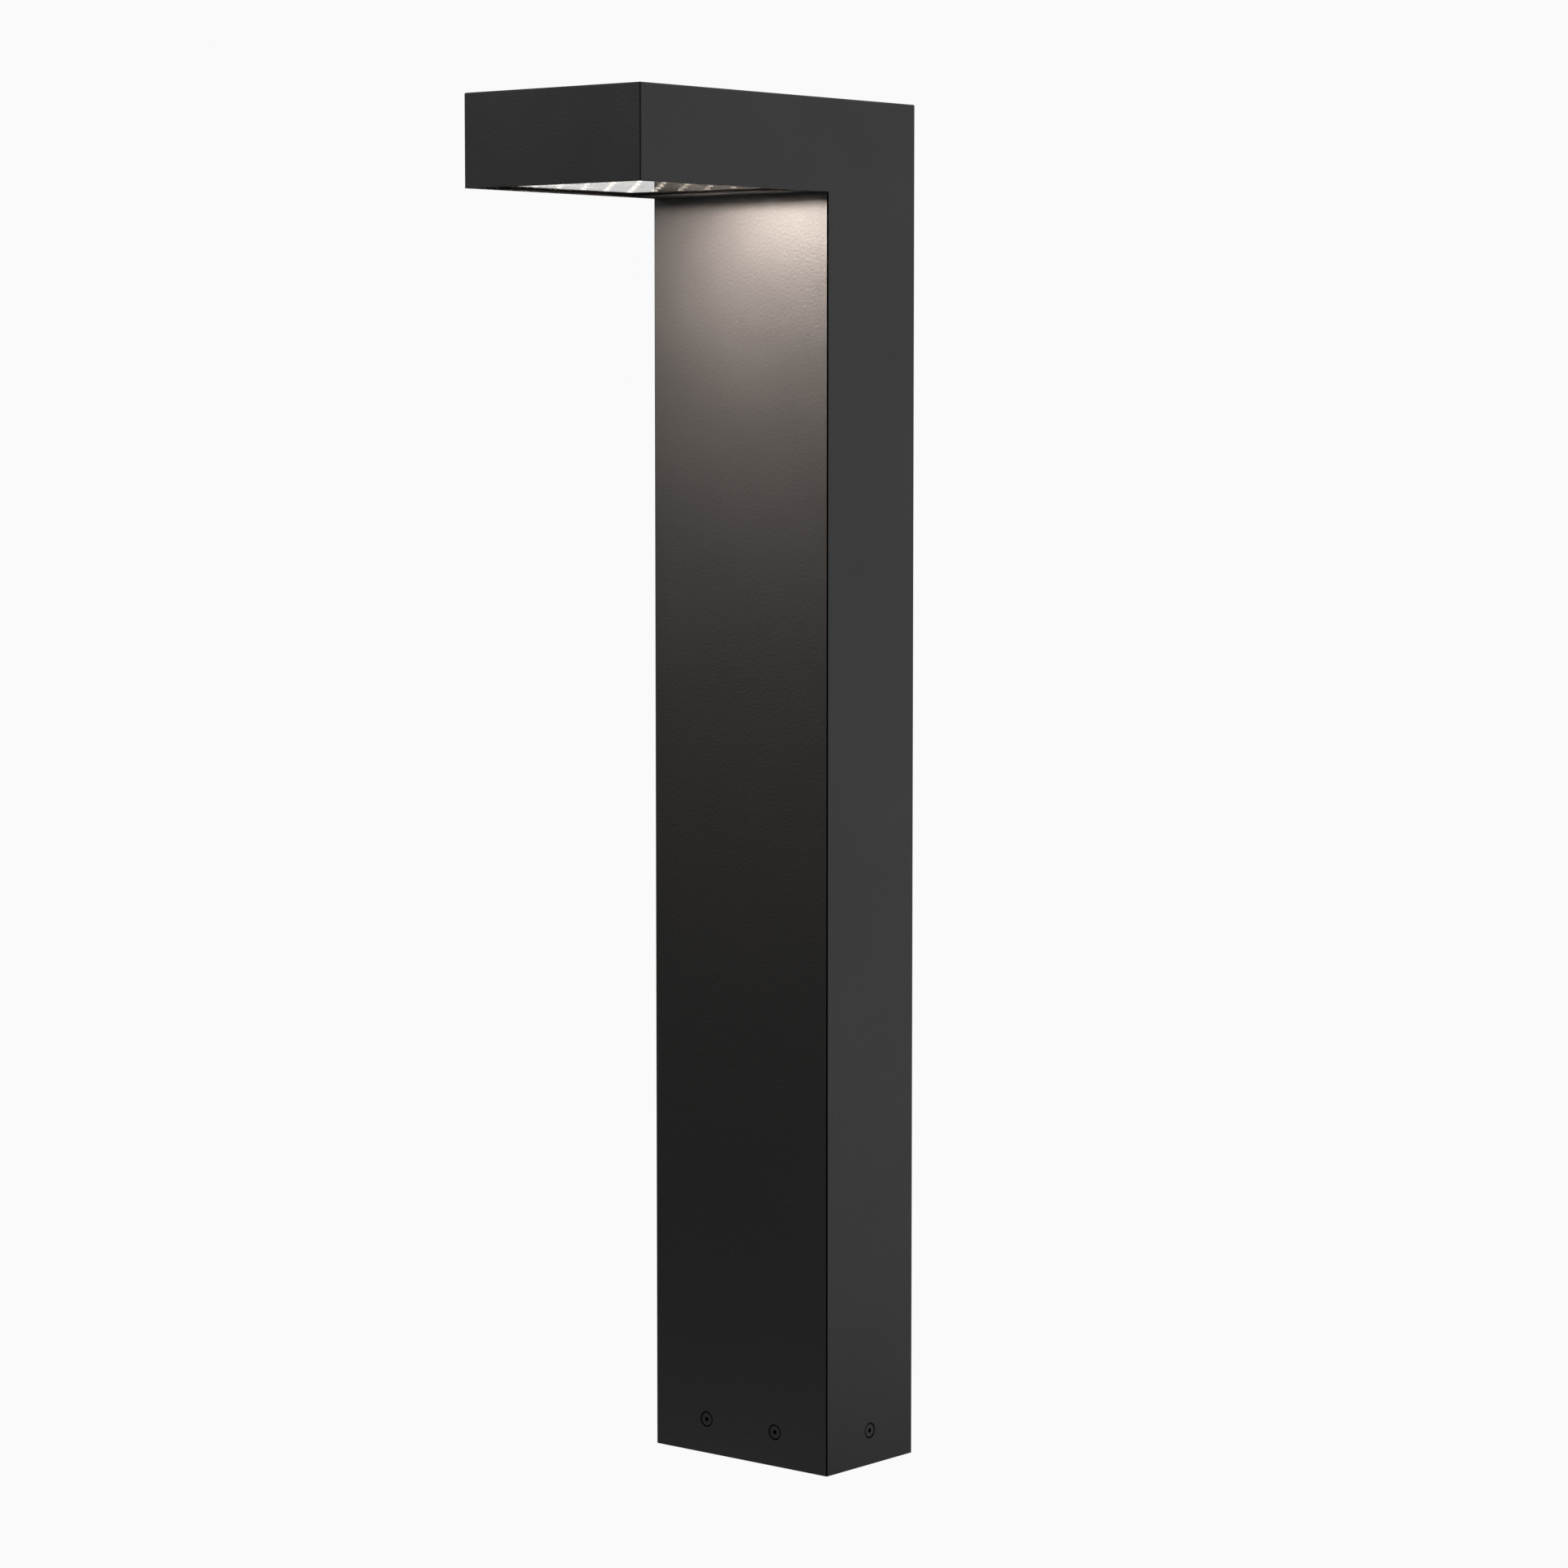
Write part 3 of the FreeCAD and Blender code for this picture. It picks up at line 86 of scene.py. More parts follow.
# ---------------------------------------------------------------- shader building blocks
class Graph:
    """A node tree with short ways to add, set and link nodes."""

    def __init__(self, tree: bpy.types.NodeTree) -> None:
        """Take a tree and empty it.

        Args:
            tree: the node tree to build in.
        """
        self.tree = tree
        self.tree.nodes.clear()

    def add(self, kind: str, **inputs: object) -> bpy.types.Node:
        """Add a node and fill its inputs by socket name, with _ for a space.

        Args:
            kind: the node's type name without its prefix.
            inputs: socket values or output sockets to link.

        Returns:
            The new node.
        """
        node = self.tree.nodes.new("ShaderNode" + kind)
        for name, value in inputs.items():
            self.put(node, name.replace("_", " "), value)
        return node

    def put(self, node: bpy.types.Node, socket: str | int, value: object) -> None:
        """Set a socket to a value, or link an output into it.

        Args:
            node: the node that owns the socket.
            socket: the socket's name or index.
            value: a plain value or an output socket.
        """
        if isinstance(value, bpy.types.NodeSocket):
            self.tree.links.new(value, node.inputs[socket])
        else:
            node.inputs[socket].default_value = value

    def math(self, operation: str, first: object, second: object = 0.0) -> bpy.types.NodeSocket:
        """Combine two numbers.

        Args:
            operation: the Math node's operation.
            first: left value or socket.
            second: right value or socket.

        Returns:
            The result socket.
        """
        node = self.add("Math")
        node.operation = operation
        self.put(node, 0, first)
        self.put(node, 1, second)
        return node.outputs[0]

    def spread(
        self, value: object, low: float, high: float, to_low: float, to_high: float
    ) -> bpy.types.NodeSocket:
        """Map a value from one range to another, clamped.

        Args:
            value: the socket to map.
            low: start of the incoming range.
            high: end of the incoming range.
            to_low: value given at low.
            to_high: value given at high.

        Returns:
            The mapped socket.
        """
        node = self.add("MapRange", Value=value, From_Min=low, From_Max=high, To_Min=to_low, To_Max=to_high)
        return node.outputs["Result"]

    def blend(self, mask: object, first: object, second: object) -> bpy.types.NodeSocket:
        """Mix two colours by a mask.

        Args:
            mask: socket from 0 to 1.
            first: colour at 0.
            second: colour at 1.

        Returns:
            The mixed colour socket.
        """
        node = self.add("Mix")
        node.data_type = "RGBA"
        self.put(node, 0, mask)
        self.put(node, MIX_COLOURS[0], first)
        self.put(node, MIX_COLOURS[1], second)
        return node.outputs[MIX_COLOUR_OUT]

    def mix(self, mask: object, first: object, second: object) -> bpy.types.NodeSocket:
        """Mix two numbers by a mask.

        Args:
            mask: value or socket from 0 to 1.
            first: number at 0.
            second: number at 1.

        Returns:
            The mixed socket.
        """
        node = self.add("Mix")
        node.data_type = "FLOAT"
        self.put(node, 0, mask)
        self.put(node, MIX_NUMBERS[0], first)
        self.put(node, MIX_NUMBERS[1], second)
        return node.outputs[0]

    def noise(
        self, vector: object, scale: object, detail: float, rough: float
    ) -> bpy.types.NodeSocket:
        """Noise on a vector.

        Args:
            vector: coordinates in metres.
            scale: cycles per metre, as a number or a socket.
            detail: octaves.
            rough: weight of the finer octaves.

        Returns:
            The noise value, about 0 to 1.
        """
        node = self.add("TexNoise", Vector=vector, Scale=scale, Detail=detail, Roughness=rough)
        return node.outputs["Fac"]


def rgba(colour: Colour) -> tuple[float, float, float, float]:
    """Colour with full alpha."""
    return (*colour, 1.0)


@dataclass
class Effects:
    """Builds each shared effect once and places it in materials.

    Sizes are the groups' defaults; octaves, weights and spans shape the noise.
    """

    made: dict[Effect, bpy.types.NodeTree] = field(default_factory=dict)
    lump_size: float = 3.0 * MM
    lump_octaves: float = 1.0
    lump_weight: float = 0.4
    grit: float = 0.2
    grit_ratio: float = 5.0
    grit_weight: float = 0.5
    soft_span: Span = (0.3, 0.7)
    line_size: float = 0.4 * MM
    line_weight: float = 0.6
    line_span: Span = (0.35, 0.65)
    patch_size: float = 50.0 * MM
    patch_weight: float = 0.55
    surface_octaves: float = 3.0
    dust_reach: float = 120.0 * MM
    speck_scale: float = 240.0
    speck_octaves: float = 4.0
    speck_weight: float = 0.65
    speck_span: Span = (0.45, 0.75)

    def start(self, effect: Effect, inputs: dict[str, float], outputs: tuple[str, ...]) -> Graph:
        """Open a new group with a vector input, named number inputs and named outputs.

        Args:
            effect: which group.
            inputs: number sockets and their defaults.
            outputs: number outputs.

        Returns:
            The graph of the group.
        """
        tree = bpy.data.node_groups.new(effect.value, "ShaderNodeTree")
        face = tree.interface
        face.new_socket(name="Vector", in_out="INPUT", socket_type="NodeSocketVector")
        for name, value in inputs.items():
            socket = face.new_socket(name=name, in_out="INPUT", socket_type="NodeSocketFloat")
            socket.default_value = value
        for name in outputs:
            face.new_socket(name=name, in_out="OUTPUT", socket_type="NodeSocketFloat")
        graph = Graph(tree)
        self.made[effect] = tree
        return graph

    @staticmethod
    def ends(graph: Graph) -> tuple[bpy.types.Node, bpy.types.Node]:
        """Input and output nodes of a group.

        Args:
            graph: the group's graph.

        Returns:
            The two end nodes.
        """
        return graph.tree.nodes.new("NodeGroupInput"), graph.tree.nodes.new("NodeGroupOutput")

    def peel(self) -> None:
        """Orange peel of a baked powder coat: soft lumps with a finer grit on them."""
        defaults = {"Lump Size": self.lump_size, "Grit": self.grit}
        graph = self.start(Effect.PEEL, defaults, ("Height", "Tone"))
        source, result = self.ends(graph)
        vector = source.outputs["Vector"]
        scale = graph.math("DIVIDE", 1.0, source.outputs["Lump Size"])
        lumps = graph.noise(vector, scale, self.lump_octaves, self.lump_weight)
        finer = graph.math("MULTIPLY", scale, self.grit_ratio)
        grit = graph.noise(vector, finer, self.lump_octaves, self.grit_weight)
        gritty = graph.math("MULTIPLY", grit, source.outputs["Grit"])
        graph.put(result, "Height", graph.math("ADD", lumps, gritty))
        graph.put(result, "Tone", graph.spread(lumps, *self.soft_span, 0.0, 1.0))

    def grain(self) -> None:
        """Fine drawn or rolled grain of a metal, stretched by the finish's own mapping."""
        graph = self.start(Effect.GRAIN, {"Line Size": self.line_size}, ("Height", "Tone"))
        source, result = self.ends(graph)
        scale = graph.math("DIVIDE", 1.0, source.outputs["Line Size"])
        lines = graph.noise(source.outputs["Vector"], scale, self.surface_octaves, self.line_weight)
        graph.put(result, "Height", lines)
        graph.put(result, "Tone", graph.spread(lines, *self.line_span, 0.0, 1.0))

    def mottle(self) -> None:
        """Broad, soft unevenness of a surface."""
        graph = self.start(Effect.MOTTLE, {"Patch Size": self.patch_size}, ("Tone",))
        source, result = self.ends(graph)
        scale = graph.math("DIVIDE", 1.0, source.outputs["Patch Size"])
        patches = graph.noise(source.outputs["Vector"], scale, self.surface_octaves, self.patch_weight)
        graph.put(result, "Tone", graph.spread(patches, *self.soft_span, 0.0, 1.0))

    def dust(self) -> None:
        """Dust that gathers near the ground and thins out upwards."""
        graph = self.start(Effect.DUST, {"Reach": self.dust_reach}, ("Mask",))
        source, result = self.ends(graph)
        vector = source.outputs["Vector"]
        parts = graph.add("SeparateXYZ", Vector=vector)
        rise = graph.math("DIVIDE", parts.outputs["Z"], source.outputs["Reach"])
        low = graph.spread(rise, 0.0, 1.0, 1.0, 0.0)
        noise = graph.noise(vector, self.speck_scale, self.speck_octaves, self.speck_weight)
        specks = graph.spread(noise, *self.speck_span, 0.0, 1.0)
        graph.put(result, "Mask", graph.math("MULTIPLY", graph.math("MULTIPLY", low, low), specks))

    def build(self) -> None:
        """Make every group."""
        self.peel()
        self.grain()
        self.mottle()
        self.dust()

    def place(self, graph: Graph, effect: Effect, **inputs: object) -> bpy.types.Node:
        """Put a group in a material.

        Args:
            graph: the material's graph.
            effect: which group.
            inputs: its socket values, with _ for a space.

        Returns:
            The group node.
        """
        node = graph.tree.nodes.new("ShaderNodeGroup")
        node.node_tree = self.made[effect]
        for name, value in inputs.items():
            graph.put(node, name.replace("_", " "), value)
        return node


EFFECTS = Effects()


# ---------------------------------------------------------------- finishes
@dataclass(frozen=True)
class Finish:
    """Common part of every finish: its name, colour and gloss."""

    name: str
    colour: Colour
    roughness: float

    def open(self) -> tuple[bpy.types.Material, Graph, bpy.types.Node, bpy.types.NodeSocket]:
        """Start a material.

        Returns:
            The material, its graph, its Principled node and the Object coordinates.
        """
        material = bpy.data.materials.new(self.name)
        material.use_nodes = True
        graph = Graph(material.node_tree)
        surface = graph.add("BsdfPrincipled")
        output = graph.add("OutputMaterial")
        graph.put(output, "Surface", surface.outputs[0])
        where = graph.add("TexCoord").outputs["Object"]
        return material, graph, surface, where

    def bump(self, graph: Graph, surface: bpy.types.Node, height: object, depth: float) -> None:
        """Raise the surface by a height map.

        Args:
            graph: the material's graph.
            surface: the Principled node.
            height: the height socket.
            depth: real depth in metres for a height of 1.
        """
        node = graph.add("Bump", Strength=1.0, Distance=depth, Height=height)
        graph.put(surface, "Normal", node.outputs[0])

    def tones(self, graph: Graph, tone: object, change: float) -> bpy.types.NodeSocket:
        """The finish's colour made a little darker and lighter by a tone.

        Args:
            graph: the material's graph.
            tone: socket from 0 to 1.
            change: share by which the colour changes each way.

        Returns:
            The colour socket.
        """
        dark = tuple(c * (1.0 - change) for c in self.colour)
        light = tuple(min(1.0, c * (1.0 + change)) for c in self.colour)
        return graph.blend(tone, rgba(dark), rgba(light))

    def make(self) -> bpy.types.Material:
        """Build the material.

        Returns:
            The material.
        """
        raise NotImplementedError


@dataclass(frozen=True)
class PowderCoat(Finish):
    """Baked powder coat with orange peel, slight gloss changes and a trace of dust near the ground.

    Rounded edges carry painted shade: a darker colour, a lower roughness and an edge_metal share.
    """

    lump_size: float = 1.8 * MM
    lump_depth: float = 0.115 * MM
    grit: float = 0.22
    patch_size: float = 70.0 * MM
    gloss_change: float = 0.03
    tone_change: float = 0.05
    dust_roughness: float = 0.5
    dust_colour: Colour = (0.09, 0.088, 0.085)
    dust_amount: float = 0.12
    dust_reach: float = 0.1
    edge_shade_tone: float = 0.3
    edge_roughness: float = 0.22
    edge_metal: float = 0.0
    flat_above: float = 0.999
    round_below: float = 0.97

    def edge_mask(self, graph: Graph) -> bpy.types.NodeSocket:
        """Rounded edges, which take the painted shade, found where the normal lies along none of the axes.

        Args:
            graph: the material's graph.

        Returns:
            A mask of 1 on the rounded edges.
        """
        parts = graph.add("SeparateXYZ", Vector=graph.add("TexCoord").outputs["Normal"])
        sizes = [graph.math("ABSOLUTE", parts.outputs[axis]) for axis in "XYZ"]
        largest = graph.math("MAXIMUM", graph.math("MAXIMUM", sizes[0], sizes[1]), sizes[2])
        return graph.spread(largest, self.flat_above, self.round_below, 0.0, 1.0)

    def make(self) -> bpy.types.Material:
        """Build the material.

        Returns:
            The material.
        """
        material, graph, surface, where = self.open()
        peel = EFFECTS.place(graph, Effect.PEEL, Vector=where, Lump_Size=self.lump_size, Grit=self.grit)
        patch = EFFECTS.place(graph, Effect.MOTTLE, Vector=where, Patch_Size=self.patch_size)
        dust = EFFECTS.place(graph, Effect.DUST, Vector=where, Reach=self.dust_reach)
        film = graph.math("MULTIPLY", dust.outputs["Mask"], self.dust_amount)
        body = self.tones(graph, patch.outputs["Tone"], self.tone_change)
        edge = self.edge_mask(graph)
        # painted shade: a darker copy of the coat colour for the rounded edges
        painted_edge_shade = tuple(c * self.edge_shade_tone for c in self.colour)
        dusted = graph.blend(film, body, rgba(self.dust_colour))
        graph.put(surface, "Base Color", graph.blend(edge, dusted, rgba(painted_edge_shade)))
        low, high = self.roughness - self.gloss_change, self.roughness + self.gloss_change
        gloss = graph.spread(patch.outputs["Tone"], 0.0, 1.0, low, high)
        dusty = graph.math("ADD", gloss, graph.math("MULTIPLY", film, self.dust_roughness))
        graph.put(surface, "Roughness", graph.mix(edge, dusty, self.edge_roughness))
        if self.edge_metal:
            graph.put(surface, "Metallic", graph.math("MULTIPLY", edge, self.edge_metal))
        self.bump(graph, surface, peel.outputs["Height"], self.lump_depth)
        return material


@dataclass(frozen=True)
class Metal(Finish):
    """Bare or plated metal with a drawn grain and soft tarnish."""

    lay: Lay = Lay.EVEN
    line_size: float = 0.4 * MM
    depth: float = 0.004 * MM
    tarnish: Colour = (0.35, 0.35, 0.36)
    tarnish_amount: float = 0.3
    tarnish_roughness: float = 0.25
    patch_size: float = 18.0 * MM
    tone_change: float = 0.08
    gloss_change: float = 0.06

    def make(self) -> bpy.types.Material:
        """Build the material.

        Returns:
            The material.
        """
        material, graph, surface, where = self.open()
        turned = graph.add("Mapping", Vector=where, Scale=self.lay.value).outputs[0]
        grain = EFFECTS.place(graph, Effect.GRAIN, Vector=turned, Line_Size=self.line_size)
        patch = EFFECTS.place(graph, Effect.MOTTLE, Vector=where, Patch_Size=self.patch_size)
        worn = graph.math("MULTIPLY", patch.outputs["Tone"], self.tarnish_amount)
        lined = self.tones(graph, grain.outputs["Tone"], self.tone_change)
        graph.put(surface, "Base Color", graph.blend(worn, lined, rgba(self.tarnish)))
        surface.inputs["Metallic"].default_value = 1.0
        low, high = self.roughness - self.gloss_change, self.roughness + self.gloss_change
        rough = graph.spread(grain.outputs["Tone"], 0.0, 1.0, low, high)
        dull = graph.math("MULTIPLY", worn, self.tarnish_roughness)
        graph.put(surface, "Roughness", graph.math("ADD", rough, dull))
        self.bump(graph, surface, grain.outputs["Height"], self.depth)
        return material


@dataclass(frozen=True)
class Moulded(Finish):
    """Moulded plastic or rubber with a spark-eroded texture, and a second colour on one side if wanted."""

    texture_size: float = 0.5 * MM
    depth: float = 0.015 * MM
    grit: float = 0.3
    patch_size: float = 10.0 * MM
    tone_change: float = 0.07
    gloss_change: float = 0.05
    second: Colour | None = None
    band_edge: float = 0.11 * MM
    shine: float = 0.5

    def make(self) -> bpy.types.Material:
        """Build the material.

        Returns:
            The material.
        """
        material, graph, surface, where = self.open()
        peel = EFFECTS.place(graph, Effect.PEEL, Vector=where, Lump_Size=self.texture_size, Grit=self.grit)
        patch = EFFECTS.place(graph, Effect.MOTTLE, Vector=where, Patch_Size=self.patch_size)
        body = self.tones(graph, patch.outputs["Tone"], self.tone_change)
        if self.second is not None:
            side = graph.add("SeparateXYZ", Vector=where).outputs["X"]
            band = graph.spread(side, -self.band_edge, self.band_edge, 0.0, 1.0)
            body = graph.blend(band, body, rgba(self.second))
        graph.put(surface, "Base Color", body)
        low, high = self.roughness - self.gloss_change, self.roughness + self.gloss_change
        graph.put(surface, "Roughness", graph.spread(peel.outputs["Tone"], 0.0, 1.0, low, high))
        surface.inputs["Specular IOR Level"].default_value = self.shine
        self.bump(graph, surface, peel.outputs["Height"], self.depth)
        return material


@dataclass(frozen=True)
class Clear(Finish):
    """Clear glass or acrylic with faint smears."""

    ior: float = 1.5
    smear: float = 0.02
    clean: float = 0.2
    patch_size: float = 30.0 * MM
    tone_change: float = 0.01

    def make(self) -> bpy.types.Material:
        """Build the material.

        Returns:
            The material.
        """
        material, graph, surface, where = self.open()
        patch = EFFECTS.place(graph, Effect.MOTTLE, Vector=where, Patch_Size=self.patch_size)
        tone = patch.outputs["Tone"]
        graph.put(surface, "Base Color", self.tones(graph, tone, self.tone_change))
        smeared = self.roughness + self.smear
        graph.put(surface, "Roughness", graph.spread(tone, self.clean, 1.0, self.roughness, smeared))
        surface.inputs["Transmission Weight"].default_value = 1.0
        surface.inputs["IOR"].default_value = self.ior
        return material


@dataclass(frozen=True)
class Emissive(Finish):
    """Glowing finish with slightly dimmer patches, for LED phosphor and for painted glow; thrown is the
    share it lights its surroundings with.
    """

    light: Colour = (1.0, 0.86, 0.75)
    strength: float = 60.0
    thrown: float = 0.08
    dimmest: float = 0.9
    patch_size: float = 1.2 * MM
    tone_change: float = 0.05

    def make(self) -> bpy.types.Material:
        """Build the material.

        Returns:
            The material.
        """
        material, graph, surface, where = self.open()
        patch = EFFECTS.place(graph, Effect.MOTTLE, Vector=where, Patch_Size=self.patch_size)
        graph.put(surface, "Base Color", self.tones(graph, patch.outputs["Tone"], self.tone_change))
        surface.inputs["Roughness"].default_value = self.roughness
        dim = tuple(c * self.dimmest for c in self.light)
        glow = graph.blend(patch.outputs["Tone"], rgba(dim), rgba(self.light))
        thrown = tuple(c * self.thrown for c in self.light)
        scattered = graph.add("LightPath").outputs["Is Diffuse Ray"]
        graph.put(surface, "Emission Color", graph.blend(scattered, glow, rgba(thrown)))
        surface.inputs["Emission Strength"].default_value = self.strength
        return material


CHARCOAL: Colour = (0.018, 0.018, 0.0178)
BLACK_COAT = PowderCoat("charcoal_powder_coat", CHARCOAL, 0.5)
# the column's rounded edges carry painted shade with a metallic share
COLUMN_COAT = PowderCoat("column_powder_coat", CHARCOAL, 0.5, edge_shade_tone=0.4, edge_metal=1.0)
SCREW_COAT = PowderCoat(
    "blackened_screw", (0.016, 0.016, 0.016), 0.38, lump_size=0.8 * MM, lump_depth=0.006 * MM
)
PANE = Clear("toughened_glass", (0.94, 0.97, 0.95), 0.0, smear=0.03, clean=0.97)
OPTIC = Clear("lens_acrylic", (0.97, 0.97, 0.96), 0.03, ior=1.49)
SEAL = Moulded("black_silicone", (0.02, 0.02, 0.02), 0.55)
# near-black, almost shineless rubber that paints shade in the screw gaps and sockets and on the glazing
# bead
SHADE_RUBBER = Moulded("shade_black_rubber", (0.002, 0.002, 0.002), 0.85, depth=0.004 * MM, shine=0.02)
SINK = Metal("extruded_aluminium", (0.78, 0.79, 0.8), 0.38, lay=Lay.FORWARD)
DRIVER_CASE = Metal("driver_aluminium", (0.6, 0.61, 0.62), 0.4, lay=Lay.UPRIGHT)
LEDGE = Metal("ledge_aluminium", (0.35, 0.34, 0.33), 0.5, lay=Lay.ACROSS)
REFLECTOR = PowderCoat(
    "white_reflector_coat", (0.82, 0.81, 0.79), 0.45, lump_depth=0.01 * MM, dust_amount=0.0
)
BOARD = Moulded("white_solder_mask", (0.8, 0.8, 0.78), 0.35, texture_size=0.9 * MM, depth=0.006 * MM)
GLOW = Emissive("lit_phosphor", (0.9, 0.72, 0.35), 0.5)
# painted glow: the spacer pips give light of their own, standing in for the lens tips lit by the LEDs
TIP_PAINTED_GLOW = Emissive("painted_glow_pip", (0.8, 0.76, 0.7), 0.5, light=(1.0, 0.84, 0.76), strength=3.4)
SOLDER = Metal("tinned_pads", (0.8, 0.79, 0.77), 0.3, line_size=0.2 * MM)
GAP_PAD = Moulded("gap_filler_pad", (0.4, 0.46, 0.52), 0.7)
ZINC = Metal("zinc_plate", (0.68, 0.69, 0.71), 0.35, line_size=0.25 * MM)
GALVANISED = Metal("galvanised_sheet", (0.6, 0.62, 0.64), 0.45, line_size=2.5 * MM, tarnish_amount=0.5)
WHITE_PLASTIC = Moulded("white_polyamide", (0.8, 0.79, 0.76), 0.5)
GREY_PLASTIC = Moulded("grey_polyamide", (0.22, 0.225, 0.23), 0.5)
BLACK_PLASTIC = Moulded("black_polyamide", (0.025, 0.025, 0.026), 0.5)
BLUE_PLASTIC = Moulded("blue_housing", (0.05, 0.13, 0.32), 0.45)
BRASS = Metal("turned_brass", (0.75, 0.56, 0.24), 0.3, tarnish=(0.3, 0.2, 0.08))
TINNED = Metal("tinned_copper", (0.76, 0.74, 0.71), 0.3)
RED_JACKET = Moulded("red_jacket", (0.45, 0.02, 0.015), 0.4)
BLACK_JACKET = Moulded("black_jacket", (0.015, 0.015, 0.015), 0.4)
BROWN_JACKET = Moulded("brown_jacket", (0.14, 0.05, 0.02), 0.4)
BLUE_JACKET = Moulded("blue_jacket", (0.02, 0.09, 0.42), 0.4)
EARTH_JACKET = Moulded("earth_jacket", (0.05, 0.3, 0.04), 0.4, second=(0.7, 0.55, 0.02))


@dataclass
class Paintshop:
    """Keeps one material per finish and puts it on pieces."""

    stock: dict[str, bpy.types.Material] = field(default_factory=dict)

    def get(self, finish: Finish) -> bpy.types.Material:
        """Material of a finish, built on first use.

        Args:
            finish: the finish wanted.

        Returns:
            Its material.
        """
        if finish.name not in self.stock:
            self.stock[finish.name] = finish.make()
        return self.stock[finish.name]

    def coat(self, piece: bpy.types.Object, finish: Finish) -> None:
        """Give a piece one finish all over.

        Args:
            piece: the object to dress.
            finish: the finish wanted.
        """
        material = self.get(finish)
        if not piece.data.materials:
            piece.data.materials.append(material)
        for index in range(len(piece.data.materials)):
            piece.data.materials[index] = material
        LOG.info("%s: %s", piece.name, finish.name)


SHOP = Paintshop()


def dress(finishes: dict[str, Finish]) -> None:
    """Give CAD nodes their finishes.

    Args:
        finishes: node name to finish.
    """
    for node, finish in finishes.items():
        SHOP.coat(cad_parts[node], finish)


def new_piece(name: str, mesh: bmesh.types.BMesh, finish: Finish) -> bpy.types.Object:
    """Turn a finished bmesh into a piece that rides on the frame.

    Args:
        name: the piece's name.
        mesh: its geometry in metres, in place.
        finish: its finish.

    Returns:
        The object.
    """
    bmesh.ops.recalc_face_normals(mesh, faces=mesh.faces)
    data = bpy.data.meshes.new(name)
    mesh.to_mesh(data)
    mesh.free()
    piece = bpy.data.objects.new(name, data)
    bpy.context.scene.collection.objects.link(piece)
    SHOP.coat(piece, finish)
    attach(piece, "root")
    return piece


def round_edges(mesh: bmesh.types.BMesh, edges: list[bmesh.types.BMEdge], radius: float) -> None:
    """Round some edges of a mesh.

    Args:
        mesh: the mesh to work on.
        edges: its edges to round.
        radius: how far the rounding reaches.
    """
    bmesh.ops.bevel(
        mesh, geom=edges, offset=radius, segments=BEVEL_STEPS, profile=0.5, affect="EDGES", material=-1
    )


